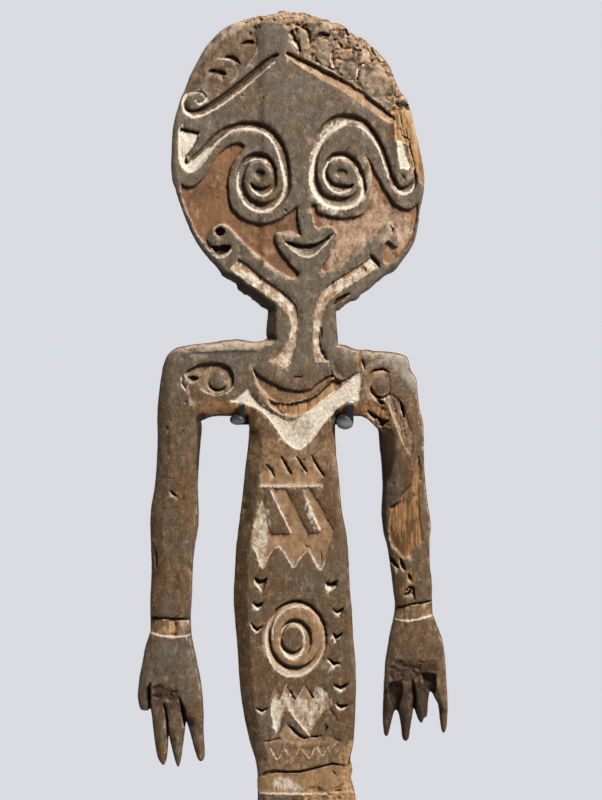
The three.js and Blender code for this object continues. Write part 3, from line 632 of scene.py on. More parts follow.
# %% Paint fields
LIME_LINES = bands(
    "180,131,3 180,155,4 183,165,5 188.5,170,5.5 195,168,5.5 202.5,160.5,5 209.5,152,4.5 216.5,143,3.2"
    " 223,137,2.6 231,131.2,2.4 240,128.6,2.4 252,129,2.4 261,131.5,2.4 269,137,2.4 275,146,2.4"
    " 279,156,2.6 282,166,3 284.8,178,3.4 284.5,188,3.4 282.5,196,3.4 277.5,204,3.2 269.5,210,3 258,211,3"
    " 246.5,205,2.6 240.5,195,2.4 237.6,183,2.2 238.5,172,1.6",
    "250,187.6,1.4 256,193,2 262,195.6,2.2 268,193.4,2 272.5,189,1.4",
    "243.5,164,1 250,160.3,1.6 260,159.2,1.8 268,163.2,1.4",
    "358,126,2 366,131,2 373,139,2 379,150,2 384.5,164,1.8 389,178,1.6",
    "346,123,3 338,127,4.5 328,134,5 320,145,4.5 314.5,159,4 311.5,172,4.5 311,183,5 315,194,5 323,203,4.5"
    " 334,207.5,4 346,207.5,4 356,204,4 362,197,4 364,188,3.5 363,179,2",
    "345,157.6,2.2 334,158.6,2.4 327,164.5,2.4 323.8,173,2.6 326,183,2.6 333.5,191,2.6 344,192.3,2.6"
    " 351.5,188.5,2",
    "356,166,1.6 361,176,1.6 362,185,1.6",
    "393,180,1.4 398,190.5,2.4 405,193.5,3 411.5,190,2.8 415,184,1.6",
    "275,62,1.2 264,71,1.6 251,82,1.8 239,92,2 227,101,2.2 214,109.5,2.4 202,115.2,2.8 193,116.8,3.2"
    " 186.5,112.5,3.2 182.5,104,2.8 185,96.5,3.4 191.5,91.8,3.2 200,91,3 206.5,95,3 205,101.5,2.8"
    " 199.5,104,2.6 195.8,100.5,2.2",
    "291.5,41,2.4 294,44.5,3 296.5,47.5,2", "330.6,53,1 330.4,58,1.8 331.8,64,1.8 334,68,1",
    "357.6,77,1.4 357.2,71,2 360.6,66,1.6 366,64,1", "218,57.8,1.2 224,59,1.8 230,60,1.4",
    "285,243,1.2 291,249,1.6 299,254.4,2 308,256.8,2.2 315,254.6,2 321.5,248.6,1.8 328,241.6,1.6"
    " 333.5,235.5,1.2",
    "212.5,254.5,1.4 219.5,257.5,2 227,255,1.8 231.5,249.5,1.4", "366.5,271,2 369.5,264.5,3.4 374,258.5,2",
    "181.3,377,1 182,385,1.8 186,391.5,1",
    "203,391,1 209,394,1.6 217,396,1.8 226,393.5,1.6 233.5,387.5,1.2",
    "270.6,490,1.4 280,510,1.8 291.5,533,1.4", "303,490,1 308,503,2.2 314,517,2.6 320,530,1.2",
    "252.5,545,1.4 257.5,557,1.8 263,568.5,1.6 268,557.5,1.2 274,549.3,1.2 280,547.5,1.2 287,557.5,1.4"
    " 293.5,567.5,1.6 300,558,1.4 308,551.5,1.4 314,560.5,1.8 320.5,570,1.6 325.5,559,1.2",
    "261,486.4,1.4 285,486.4,1.6 322,485.8,1.2",
    "269,622,1.2 266.5,632,2 266.8,648,2.4 270.5,661,2.6 279.5,671.8,2.8 293,676.3,3 307,672.3,2.6"
    " 317.5,662,2 322.5,652,1.4",
    "273,640,1 273.5,627,1.6 279.5,615,1.8 289,608,2 298,606.4,1.8 308,608.5,1.2",
    "281,640,2 282.3,630,1.8 287.2,624.6,1.8 294,624,1.6 300.3,627,1.6 304,636,2 304.3,646,2.8"
    " 300.8,654,3.4 294,658.2,3.8 286.8,655.8,3.4 282.2,649,2.8",
    "288.5,709,1.8 299,722.5,2.2 309.5,735.5,1.8",
    "276.5,685.5,1 280.5,699.5,1.4 286.8,685.3,1 295.8,700.3,1.4 306,684.3,1 313.3,699,1.4 323,686,1.2",
    "270,748,0.8 277.2,759.5,1.2 284,749,0.8", "285.5,749,0.8 292.5,760,1.2 299,749,0.8",
    "301.5,749,0.8 309.3,758,1.2 314.5,747.5,0.8", "317,747.5,0.8 322.5,755,1.2 328.5,746.5,0.8",
    "260,793,1.4 295,794,1.8 327,793.5,1.4",
    "150,632,1.5 158,635,1.7 168,636.8,1.9 180,636.8,1.8 190,635,1.5",
    "393.5,619,1.5 402,620.6,2 412,620.4,2 424,618,1.8 434.5,614.8,1.5",
)
LIME_FIELDS = [
    NECKLACE,
    *areas(
        "179,146 184,150 190,158 196,158 204,150 210,146 206,156 198,165 190,171 184,168 180,160",
        "179,128 190,130 199,132 197,139 192,147 187,153 185,160 181,163 179,150",
        "397.4,141.5 401.5,141.5 404,149 408,160 409.5,169 404,169 400,167.5 398,155",
        "271.5,703 275,695 279,704 281,714 279.5,726 276,734 272.5,722 271,711",
    ),
]
LIME_FAINT = areas(
    "258,500 266,505 270,520 268,540 266,560 262,566 256,553 252,543 253,528 256,513",
    "357,176 366,178 368,190 365,200 358,201 360,190", "314,690 323,688 331,698 331,707 322,711 314,705",
    "275,776 288,779 300,786 308,790 282,791 272,788", "308,498 314,512 322,530 314,530 306,512",
    "283,692 291,694 298,702 300,714 292,714 286,706", "316,704 324,700 330,704 322,714 316,722",
    "312,182 316,196 326,206 340,210 334,216 320,208 311,196",
    "346,119 352,121 338,126 326,137 319,149 313,166 310,172 309,160 313,145 320,132 332,122",
    "272,707 290,692 300,697 312,700 325,690 330,700 318,720 308,733 300,722 288,708 280,722 276,732",
)
# pale lines: partly pale paint and dust in grooves and crown curls, partly painted highlight along lips,
# ridges and edges that face the key light
DUST_AND_HIGHLIGHT_LINES = bands(
    "277.6,613.8,2 289,606.4,4 305,607.2,4 319,619,3.4 324.5,635.4,3 321.5,657,3.4 307.2,671.2,4.6"
    " 292.8,674.6,5 278.5,667.5,4.6 268.8,655.1,5 266.8,640,5.5 268.8,626,5 277.6,613.8,3",
    "214,226.5,1 220,224.3,1.4 227,227,1.6 233,232,1.6 243,242.5,1.6 256,256,1.8 266,265,1.8 276,272.4,1.8"
    " 286,277,1.6 296,279.4,1",
    "233,62,1.6 237.6,68,2.4 236.8,76,3 232,82,2",
    "208,76.5,1.6 215,77.4,2 221.5,78.5,2.4 223,85,2 219.5,93,1.6",
    "190,90.8,1.4 198,91,2.2 206,92.6,2 212,96,1.4", "257,47,1.4 254.5,57,1.8 247,65,1.4",
    "261,485.8,3 285,486,4 322,485.2,3", "408.8,684,0.8 409.4,698,1.4 409.8,716,1",
    "385,714,1 386.2,722,2.6 385,730,1", "185.6,373,1.4 187,384,2.6 189.4,396,2.8 191.6,410,1.4",
    "251.7,366,1 257,383,2 266,394,2 275,401,1", "362,178,4 364,190,6 360,199,6 350,204,4",
    "319,146,4 326,136,5 336,128,4 345,124,2",
)
# pale fields: a dusty film on the right cheek, and painted highlight along the crown's rounded rims on both
# sides
DUST_AND_HIGHLIGHT_FIELDS = areas(
    "360,160 368,170 378,195 396,212 412,214 414,232 402,252 390,258 374,238 344,266 326,268 336,232"
    " 320,222 330,218 362,214 370,196",
    "370,205 385,203 400,210 412,214 410,232 398,216 382,212", "330,224 350,218 368,222 360,240 344,238",
    "192,76 201,57 213,40 231,26 250,18 264,19 248,28 233,35 217,47 205,63 198,78",
    "276,14 300,14 330,24 352,36 380,60 392,82 384,84 366,60 340,40 310,24 280,22",
)
OCHRE_FIELDS = [CHEEK_LEFT, CHEEK_RIGHT, *EAR_PITS]
BUFF_FIELDS = [
    BELT, UPPER_TEETH, LOWER_TEETH, NECKLACE, NECK_CHANNEL_LEFT, NECK_CHANNEL_RIGHT, CROWN_CHANNEL_RIGHT,
    CROWN_CHANNEL_LEFT, SPIRAL_LEFT, SPIRAL_RIGHT, MEDAL_MOAT, MEDAL_WELL, SHOULDER_STRIP, LOWER_STEP,
]
BUFF_SOFT = [
    THROAT_LEDGE, HAIR_FIELD, BREAST_LEFT, BREAST_RIGHT, *CROWN_LEFT_STANDING,
    *areas(
        "200,398 222,400 238,402 250,408 252,420 246,422 240,414 205,415",
        "363,368 392,370 394,392 388,400 376,404 362,416 359,404 362,390",
        "257,735 285,737 330,737 344,745 342,764 320,768 290,773 262,774 257,752",
    ),
    MEDAL_RING,
    *areas(
        "250,440 335,440 338,470 262,472 250,470", "150,619 190,619 190,634 168,636 150,632",
        "395,608 432,602 434,614 412,620 394,618",
    ),
]
TRUNK_PATCH = area("244,424 251,424 250,440 247,462 244,470 243,450")
RUST_FIELDS = [
    *LOCKS, *LOCK_CURLS,
    *areas(
        "200,399 218,399 236,402 248,407 248,415 230,416 212,416 202,412",
        "264,644 264,624 274,610 288,604 284,611 274,622 269,640",
    ),
    TRUNK_PATCH,
    *areas(
        "338,400 346,400 362,404 376,408 378,416 350,417 338,408",
        "180,183 200,184 208,172 216,172 200,195 186,196",
        "312,205 322,212 338,217 334,225 318,227 313,216",
        "322,298 332,287 345,279 356,271 366,263 368,266 356,276 344,284 334,291 326,301",
        "332,306 336,296 346,292 350,294 342,300",
    ),
]
STRIPPED_FIELDS = [ARM_BARE, STUB]
STRIPPED_SOFT = [
    PALE_SPLINTER, area("402,572 410,569 418,574 416,586 414,598 404,601 400,590 403,580"), *KNUCKLES,
]
# the shoulder tops: rubbed grey, and lighter as a painted highlight where they face up to the light
SHOULDERS_WORN_AND_LIT = areas(
    "378,351 396,353 412,358 417,370 420,392 412,392 402,380 384,366 378,358",
    "188,362 198,350 215,344 240,341 258,336 264,346 240,353 215,355 200,360",
)
# dark painted shade and shadow: the left arm's inner edge under the armpit, the holes in the stub and the
# shadow it throws down the right arm, the shadow round the right hook's tube, the jaw break, and the upper
# wall of the crown's left channel
PAINTED_SHADOW_FIELDS = [
    area("196,416 206,413 205,424 203,440 201,458 199,474 196,468 197,450 197,430"), *STUB_HOLES,
    *areas(
        "379,428 393,430 397,442 395,460 390,478 384,484 381,470 379,450",
        "332,402 338,397 341,400 338,408 342,414 337,424 331,424 331,410",
    ),
    JAW_BREAK,
    band(
        "276,52.6,2 267,59.3,4.4 255,69.8,5.4 244,79.6,5.4 231,89.8,5.4 219,98.2,5.4 207,105.8,5.2"
        " 197,110.2,4 190.5,110,2"
    ),
]
# soft painted shade down the right arm's inner side and along the foot of the shoulders' top bevel
PAINTED_SHADE_SOFT = areas(
    "379,432 393,432 393,455 389,470 387,500 387,530 391,560 393,590 395,612 391,612 388,570 383,530"
    " 381,500 379,460",
    "190,352 205,351 225,350 245,350 260,351 245,354 225,355 205,356",
)
ARM_DARK = area(
    "383,448 394,446 402,452 409,462 414,472 413,482 410,490 404,494 398,503 391,508 386,512 383,500"
)
BARE_FIELDS = [
    RIM_BARE, CHEST_BREAK,
    *areas(
        "347,744 354,740 360,750 358,772 358,790 358,804 343,798 344,780 341,766 340,752",
        "306,790 317,787 330,792 345,789 352,800 322,803 305,800", "169,621 176.5,619 176,636 170,636",
    ),
]
BARE_SOFT = [
    BELT, area("151,590 155,575 157,590 155,612 151,612"),
    TRUNK_PATCH,
    area("196,480 199,470 198,440 201,430 203,440 201,470"),
]
print("paint fields", len(LIME_LINES) + len(LIME_FIELDS) + len(OCHRE_FIELDS) + len(BUFF_FIELDS))

# %% [markdown]
# ## Depth over the sheet
# The depth below the board's face is put together in three steps: the board's own form with its worn edge,
# the cuts with their sloping walls, then the marks of tool, grain, rot and wear. All of them work on whole
# arrays, and the mesh and the paint both read the result.

# %% Depth of the front
# the side each stop cut stands on, which is also the key light's side: under_walls steps this way to paint
# shadow below walls and a highlight on lips
STOP_CUT_AND_LIGHT_SIDE = np.array([0.38, -0.925])
# how far a pared cut looks to both sides for its walls, in mm
PARING_LOOK = 4
# pared cuts: fields, depth
PARED = [
    ([SPIRAL_LEFT, POCKET_LEFT], 6.0), ([SPIRAL_RIGHT], 6.2), ([CROWN_CHANNEL_LEFT], 5.2),
    ([CROWN_CHANNEL_RIGHT], 4.6), ([NECK_CHANNEL_LEFT], 2.8), ([NECK_CHANNEL_RIGHT], 3.4),
    (CROWN_CUTS_RIGHT, 4.2), (CHEVRONS, 6.6), ([MOUTH], 6.4), ([BREAST_LEFT], 5.2),
]
# flat-floored cuts: fields, depth, wall width
SUNK = [
    ([POCKET_RIGHT], 1.6, 1.5), ([CHEEK_LEFT, CHEEK_RIGHT], 3.9, 1.3), (LOCKS, 5.0, 1.5),
    (LOCK_CURLS, 2.2, 1.3), ([BREAST_RIGHT], 1.6, 1.6), (BREAST_SHADES, 5.6, 1.6),
    ([SHOULDER_SOFT], 1.2, 1.6), (LUMP_FOOT, 3.4, 1.2), (STUB_HOLES, 5.5, 1.2), (EYE_PITS, 3.4, 2.0),
    ([KNOB_PIT], 2.2, 1.2), (EAR_PITS, 8.0, 1.6), (JAW_NOTCHES, 5.4, 1.5), (CROWN_SCARS, 1.8, 1.6),
    (EAR_NICKS, 3.0, 1.6), (TOOTH_LEFTS, 1.8, 0.8), ([THROAT_LEDGE], 3.8, 1.2), ([CHEST_BREAK], 4.6, 1.2),
    ([NECKLACE], 2.0, 1.2), ([BREAST_HOLE], 8.0, 1.6), ([BREAST_LEFT_LIP], 1.4, 1.2),
    ([THROAT_NICK], 2.6, 1.0), ([SHOULDER_CRACK], 3.8, 1.0), ([SHOULDER_STRIP], 1.4, 1.0),
    ([UPPER_TEETH], 1.6, 1.2), ([LOWER_TEETH], 1.9, 1.2), (TOOTH_CUTS, 4.4, 1.2), (STEP_CUTS, 4.4, 1.2),
    ([LOWER_STEP], 1.4, 1.4), ([LOWER_LINE, THIN_LINE], 2.4, 1.0), (SMALL_TEETH, 0.9, 1.0),
    ([BELT_SHADE], 3.8, 1.2), ([BELT], 2.0, 1.3), (LOIN_CUTS, 2.6, 1.8), (WRIST_CUTS, 3.8, 0.9),
    (FINGER_CUTS, 8.0, 3.0), (HAND_HOLLOWS, 8.0, 3.2), ([ARM_SLOT], 7.0, 1.2), ([ARM_KNOT], 7.5, 1.4),
    (ARM_HOLES, 4.6, 1.0), (ARM_TEARS, 3.2, 1.2), ([JAW_BREAK], 4.5, 1.4), (CRACKS, 3.0, 0.8),
    (PITS, 2.0, 0.9), ([PALE_SPLINTER], 1.0, 1.2),
]


def wall(field, deep, width):
    """Depth from a field: nothing outside, an S-shaped wall over its width, then the flat floor."""
    return deep * eased(field, -0.35, width)


def most(fields, uv):
    """The largest of several fields at each point."""
    return np.max([field(uv) for field in fields], axis=0)


def pared(fields, uv, deep):
    """A cut whose stop cut stands on its upper side, with a floor that rises from there to the lower lip."""
    here = most(fields, uv)
    ahead = np.maximum(most(fields, uv + STOP_CUT_AND_LIGHT_SIDE * PARING_LOOK), -2 * PARING_LOOK)
    behind = np.maximum(most(fields, uv - STOP_CUT_AND_LIGHT_SIDE * PARING_LOOK), -2 * PARING_LOOK)
    rise = eased((ahead - behind) / (2 * PARING_LOOK), -0.5, 0.9)
    return wall(here, deep, 1.6 + 1.2 * rise) * (1 - 0.62 * rise)


def edge_shape(uv):
    """How far in the edge is worn round, and how steeply: little on the head, most on the limbs."""
    u, v = uv[:, 0], uv[:, 1]
    stops = [0, 240, 300, 330, 345, 420, 625, 690, 735, 760, 790, 1180, 1190]
    radius = np.interp(v, stops, [5, 5, 5, 6, 9, 10, 9, 8, 8, 9, 9, 8, 1])
    steep = np.full(len(uv), 0.62)
    left_rim = eased(-u, -288, -272) * eased(v, 262, 286) * (1 - eased(v, 338, 346))
    radius, steep = radius + 5 * left_rim, steep + 0.5 * left_rim
    radius = radius + 11 * eased(-u, -245, -195) * (1 - eased(v, 80, 110))
    trunk = (u > 220) & (u < 374) & (v > 418)
    left = np.where(trunk & (u < 290), eased(v, 420, 450) * (1 - eased(v, 755, 785)), 0)
    radius, steep = radius + 4.5 * left, steep + 0.12 * left
    right = np.where(trunk & (u > 300), 1 - eased(v, 755, 785), 0)
    radius = radius - 4.0 * right
    limb = ((u < 203) | (u > 378)) * eased(v, 370, 430)
    radius = radius + 4.0 * limb * ((u < 175) | ((u > 378) & (u < 405)))
    return radius + (8.0 - radius) * limb * eased(v, 626, 644), steep


def crown_rot(uv):
    """The rotten crown as a field, without the lumps that were left standing in it."""
    return np.minimum(CROWN_ROT(uv), -most(CROWN_LEFT_STANDING, uv))


def board_form(uv, inset):
    """Depth of the board's own form: the worn edge (part bevel, part round), arms, hands and feet."""
    u, v = uv[:, 0], uv[:, 1]
    radius, steep = edge_shape(uv)
    t = np.clip(1 - inset / radius, 0, 1)
    round_part = 1 - np.sqrt(np.maximum(1 - t * t, 0))
    planar = ((u > 220) & (u < 290) & (v > 430)) | ((u < 290) & (v > 262) & (v < 345))
    hands = ((u < 215) | (u > 370)) & (v > 560)
    arms = ((u < 203) | (u > 378)) & (v > 380)
    return sum([
        radius * steep * np.where(planar, 0.95 * t + 0.15 * round_part, 0.5 * t + 0.65 * round_part),
        2.2 * eased(most(WRISTS, uv), -0.3, 1.2),
        1.0 * hands * eased(v, 612, 650),
        3.4 * eased(most(FINGERS_BELOW, uv), -1, 7),
        -1.2 * np.sqrt(np.clip(most(HAND_BOSS, uv) / 14, 0, 1)),
        np.where(arms, 0.9 * eased(v, 380, 430), 0),
        eased(v, 880, 930) * 2.0 * (1 - np.clip(inset / 20, 0, 1)) ** 2,
    ])


def cut_depth(uv):
    """Depth of the carving: the deepest cut at each point, with bosses and ledges left standing in it."""
    u, v = uv[:, 0], uv[:, 1]
    drawn = uv + 0.9 * shaken(uv, 6, (31, 37), 2) + 0.9 * shaken(uv, 2.6, (34, 38), 2)
    cut = 1.0 * eased(HAIR_FIELD(drawn), -2, 4)
    for fields, deep, width in SUNK:
        cut = np.maximum(cut, wall(most(fields, drawn), deep, width))
    for fields, deep in PARED:
        cut = np.maximum(cut, pared(fields, drawn, deep))
    field = np.minimum(UPPER_FIELD(drawn), -most(UPPER_BARS, drawn))
    cut = np.maximum(cut, wall(field, 2.0, 1.0))
    cut = np.maximum(cut, wall(ARM_BARE(drawn), 3.6, 0.9) * (0.4 + 0.6 * eased(421 - u, 3, 16)))
    moats = [
        lambda p: np.minimum(MEDAL_MOAT(p), -MEDAL_RING(p)),
        lambda p: np.minimum(MEDAL_WELL(p), -MEDAL_BOSS(p)),
    ]
    for moat in moats:
        cut = np.maximum(cut, pared([moat], drawn, 5.4))
    for boss, proud in ((BREAST_LEFT_BOSS, 4.4), (BREAST_RIGHT_BOSS, 1.6)):
        cut = cut - proud * np.sqrt(np.clip(boss(drawn) / 8, 0, 1)) * eased(cut, 0.4, 1.2)
    lump = np.hypot((u - 345.5) / 12.5, (v - 361.5) / 16)
    ledge = 1.9 * eased(lump, 0.55, 1.0) * (1 - eased(lump, 1.0, 1.2))
    cut = cut + ledge * (0.25 + 0.75 * eased(v, 352, 372))
    roof = np.clip((352.0 - v) / 9, 0, 1) * eased(u, 172, 186) * (1 - eased(u, 256, 266))
    roof = roof + 0.8 * np.clip((360.0 - v) / 9, 0, 1) * eased(u, 362, 366) * (1 - eased(u, 390, 398))
    cut = cut + 2.8 * roof
    curl = eased(211 - u, 0, 7) * eased(109 - v, 0, 7)
    return cut * (1 - 0.55 * curl) * (1 - 0.3 * eased(POCKET_LEFT(uv), 0, 4))


def broken_crown(uv, ragged, crumbs):
    """What rot took from the crown: its crust, the broken ground, the lumps left in it and the bare rim."""
    lumps = mottle(uv, 11, 10, 45, 2)
    blocks = np.clip(np.abs(mottle(uv, 13, 9, 42, 2) - 0.5) / 0.1, 0, 1)
    broken = 0.3 + 1.9 * crumbs + 2.6 * lumps + 2.6 * (1 - blocks) ** 2
    rim_grain = np.abs(mottle(uv, 5, 16, 43, 4) - 0.5) * 2
    return [
        eased(CROWN_CRUST(ragged), -1.5, 2.5) * (0.6 + 6.0 * crumbs),
        eased(crown_rot(ragged), -0.6, 1.4) * (broken + 0.7 * eased(mottle(uv, 3, 3, 52, 3), 0.5, 0.72)),
        eased(most(CROWN_LEFT_STANDING, ragged), -1, 2) * (2.4 * lumps + 1.2 * crumbs),
        eased(RIM_BARE(ragged), -0.5, 1.5) * (1.4 + 3.0 * rim_grain),
    ]


def torn_wood(uv, ragged, crumbs):
    """What blows took from knuckles, arm, stub and chest, and the splinter's ridge, which stands up."""
    u, v = uv[:, 0], uv[:, 1]
    splinters = eased(np.maximum(PALE_SPLINTER(uv), CHEST_BREAK(uv)), 0, 2)
    fibres = mottle(np.stack([u - 0.42 * (v - 400) * (u > 370), v], 1), 2.2, 40, 47, 2)
    return [
        eased(most(KNUCKLES, ragged), -1, 3) * (0.9 + 2.6 * eased(mottle(uv, 5.5, 4, 50, 3), 0.35, 0.8)),
        eased(ARM_BARE(uv), 0, 2) * 1.6 * mottle(uv, 1.7, 34, 48, 2),
        eased(most(BARE_FIELDS[2:], ragged), -0.5, 1.5) * (0.8 + 3.5 * crumbs),
        splinters * 1.8 * fibres,
        eased(STUB(ragged), -1, 2) * (0.4 + 3.0 * mottle(uv, 3.4, 3.0, 49, 3)),
        -1.6 * eased(SPLINTER_RIDGE(uv), -0.4, 1.4),
    ]


def front_depth(uv, inset):
    """Depth below the face at every point: form and cuts, then rot, torn wood and the marks of the tool."""
    cut, ragged = cut_depth(uv), torn_from(uv)
    crumbs = np.abs(mottle(uv, 6.5, 5, 41, 3) - 0.5) * 2
    terms = [board_form(uv, inset), cut, *broken_crown(uv, ragged, crumbs), *torn_wood(uv, ragged, crumbs)]
    terms += [
        0.5 * eased(cut, 2.0, 4.0) * (mottle(uv, 5, 6, 53, 3) - 0.5),
        (0.6 + 0.7 * eased(uv[:, 1], 330, 360)) * (mottle(uv, 14, 20, 61, 2) - 0.5),
        0.8 * eased(mottle(uv, 3.2, 4.2, 67, 2), 0.79, 0.86),
        0.4 * eased(most(LIME_LINES, uv), -0.4, 0.5),
    ]
    return np.maximum(sum(terms), 0.0)


print("cut groups", len(SUNK) + len(PARED))

# %% [markdown]
# ## The board as one closed mesh
# The board is a square grid cut to the outline, once for the carved face and once for the back, joined by
# rings of faces down the sides. The legs carry no carving, so their rows are further apart. A collapse pass
# then spends the triangles where the surface bends.

# %% Grid, depth and shell
U_LINES = np.arange(135.5, 453.0, 1.0)
V_LINES = np.concatenate([np.arange(5.0, 800.0, 1.0), np.arange(800.0, 1191.0, 2.0)])
WALL_RINGS = 6
# the width over which the back's edge is worn round
BACK_ROUND = 5.0
# a rim node nearer the outline than this moves onto it, unless a face would get smaller than the second
NEAR_RIM, LEAST_FACE = 1.6, 0.12
MOST_TRIANGLES = 188_000
# where faces meet at more than this many degrees, the arris stays sharp
SHARP_WOOD, SHARP_STEEL = 62, 50


def grid_cells(ring):
    """Cells of the grid whose centre is in the board. Where two meet at a corner only, a third is filled."""
    cu = (U_LINES[:-1] + U_LINES[1:]) / 2
    cv = (V_LINES[:-1] + V_LINES[1:]) / 2
    centres = np.stack(np.meshgrid(cu, cv), -1).reshape(-1, 2)
    cells = enclosed(centres, ring).reshape(len(cv), len(cu))
    for _ in range(4):
        a, b, c, d = cells[:-1, :-1], cells[:-1, 1:], cells[1:, :-1], cells[1:, 1:]
        falling = a & d & ~b & ~c
        rising = b & c & ~a & ~d
        cells[:-1, 1:] |= falling
        cells[:-1, :-1] |= rising
    return cells


def sampled(sheet, uv):
    """Value of a grid at any point of the sheet, blended from the four nodes round it."""
    x = np.interp(uv[:, 0], U_LINES, np.arange(len(U_LINES)))
    y = np.interp(uv[:, 1], V_LINES, np.arange(len(V_LINES)))
    i = np.minimum(y.astype(int), sheet.shape[0] - 2)
    j = np.minimum(x.astype(int), sheet.shape[1] - 2)
    s, t = y - i, x - j
    upper = sheet[i, j] * (1 - t) + sheet[i, j + 1] * t
    lower = sheet[i + 1, j] * (1 - t) + sheet[i + 1, j + 1] * t
    return upper * (1 - s) + lower * s


def softened(sheet, times):
    """A grid after repeated 1-2-1 averaging both ways, which spreads a value by root half the times."""
    for _ in range(times):
        sheet = (np.roll(sheet, 1, 0) + 2 * sheet + np.roll(sheet, -1, 0)) / 4
        sheet = (np.roll(sheet, 1, 1) + 2 * sheet + np.roll(sheet, -1, 1)) / 4
    return sheet


def snapped(home, rim, quads, ring):
    """Nodes, with the rim's moved onto the outline where no face folds, and their inset and place on it."""
    inset, spot, where = nearest(home, ring, closed=True)
    moves = rim & (inset < NEAR_RIM)
    for _ in range(4):
        uv = np.where(moves[:, None], spot, home)
        p = uv[quads]
        q = np.roll(p, -1, 1)
        size = (p[:, :, 0] * q[:, :, 1] - q[:, :, 0] * p[:, :, 1]).sum(1) / 2
        usual = np.median(np.sign(size))
        moves[quads[size * usual < LEAST_FACE].ravel()] = False
    return uv, np.where(rim, 0.0, inset), where


def tool_marks(uv):
    """The shallow hollows that the adze left over the back, from 0 to 1."""
    return mottle(uv, 16, 34, 71, 2)


def back_face(uv, inset):
    """The back's place at every node: its edge worn round, its tool marks, and the hands thinned."""
    t = np.clip(1 - inset / BACK_ROUND, 0, 1)
    y = BACK_FACE - 0.6 * BACK_ROUND * (1 - np.sqrt(np.maximum(1 - t * t, 0))) - 1.3 * tool_marks(uv)
    hands = ((uv[:, 0] < 215) | (uv[:, 0] > 370)) * eased(uv[:, 1], 618, 650)
    return y - 3.0 * hands


def border(cells, wide, number):
    """Start and end nodes of every edge round the cells, all running the same way."""
    left = cells & ~wide[1:-1, :-2]
    right = cells & ~wide[1:-1, 2:]
    over = cells & ~wide[:-2, 1:-1]
    under = cells & ~wide[2:, 1:-1]
    starts, ends = [], []
    for side, (di, dj), (ei, ej) in (
        (left, (0, 0), (1, 0)), (under, (1, 0), (1, 1)), (right, (1, 1), (0, 1)), (over, (0, 1), (0, 0)),
    ):
        i, j = np.nonzero(side)
        starts.append(number[i + di, j + dj])
        ends.append(number[i + ei, j + ej])
    return np.concatenate(starts), np.concatenate(ends)


def board_shell(ring):
    """Vertices in mm on the sheet (u, v, y), the closed board's quads, and grids of its depth and inset."""
    cells = grid_cells(ring)
    wide = np.pad(cells, 1)
    corners = (wide[:-1, :-1], wide[:-1, 1:], wide[1:, :-1], wide[1:, 1:])
    used = np.any(corners, axis=0)
    number = np.full(used.shape, -1)
    number[used] = np.arange(used.sum())
    v_grid, u_grid = np.meshgrid(V_LINES, U_LINES, indexing="ij")
    home = np.stack([u_grid[used], v_grid[used]], 1)
    rim = ~np.all(corners, axis=0)[used]
    i, j = np.nonzero(cells)
    quads = np.stack([number[i, j], number[i + 1, j], number[i + 1, j + 1], number[i, j + 1]], 1)
    uv, inset, where = snapped(home, rim, quads, ring)
    depth = front_depth(uv, inset)
    front_y, back_y = FRONT_FACE + depth, back_face(uv, inset)
    starts, ends = border(cells, wide, number)
    edge_nodes = np.unique(starts)
    slot_of = np.full(len(uv), -1)
    slot_of[edge_nodes] = np.arange(len(edge_nodes))
    push = outward(np.roll(ring, -1, 0) - ring)[where[edge_nodes].astype(int) % len(ring)]
    edge_uv = uv[edge_nodes]
    free = 1 - eased(edge_uv[:, 1], 1178, 1187)
    levels = [np.column_stack([uv, front_y]), np.column_stack([uv, back_y])]
    faces = [quads, quads[:, ::-1] + len(uv)]
    below = starts, ends
    for k in range(1, WALL_RINGS + 1):
        y = front_y[edge_nodes] + (back_y - front_y)[edge_nodes] * k / (WALL_RINGS + 1)
        rough = mottle(np.column_stack([edge_uv.sum(1), y]), 9, 7, 73, 3) - 0.5
        moved = edge_uv + push * (rough * 1.1 * free)[:, None]
        moved[:, 1] = np.clip(moved[:, 1], BOARD_TOP, BOARD_SOLE)
        levels.append(np.column_stack([moved, y]))
        base = 2 * len(uv) + (k - 1) * len(edge_nodes)
        above = base + slot_of[starts], base + slot_of[ends]
        faces.append(np.stack([below[1], below[0], above[0], above[1]], 1))
        below = above
    faces.append(np.stack([below[1], below[0], starts + len(uv), ends + len(uv)], 1))
    depth_grid, inset_grid = np.zeros(used.shape), np.zeros(used.shape)
    depth_grid[used], inset_grid[used] = depth, inset
    return np.vstack(levels), np.vstack(faces), depth_grid, inset_grid, used


def placed(name, data):
    """A new object at the origin that carries the data."""
    made = bpy.data.objects.new(name, data)
    bpy.context.scene.collection.objects.link(made)
    return made


def mesh_piece(name, points_mm, faces):
    """A mesh object at the origin from points in mm (x, y, z) and an array of faces."""
    mesh = bpy.data.meshes.new(name)
    mesh.from_pydata([], [], [])
    mesh.vertices.add(len(points_mm))
    mesh.vertices.foreach_set("co", (np.asarray(points_mm) * MM).astype(np.float32).ravel())
    sizes = np.full(len(faces), faces.shape[1], np.int32)
    mesh.loops.add(int(sizes.sum()))
    mesh.loops.foreach_set("vertex_index", faces.astype(np.int32).ravel())
    mesh.polygons.add(len(faces))
    mesh.polygons.foreach_set("loop_start", np.concatenate([[0], np.cumsum(sizes)[:-1]]).astype(np.int32))
    mesh.update(calc_edges=True)
    mesh.validate()
    return placed(name, mesh)


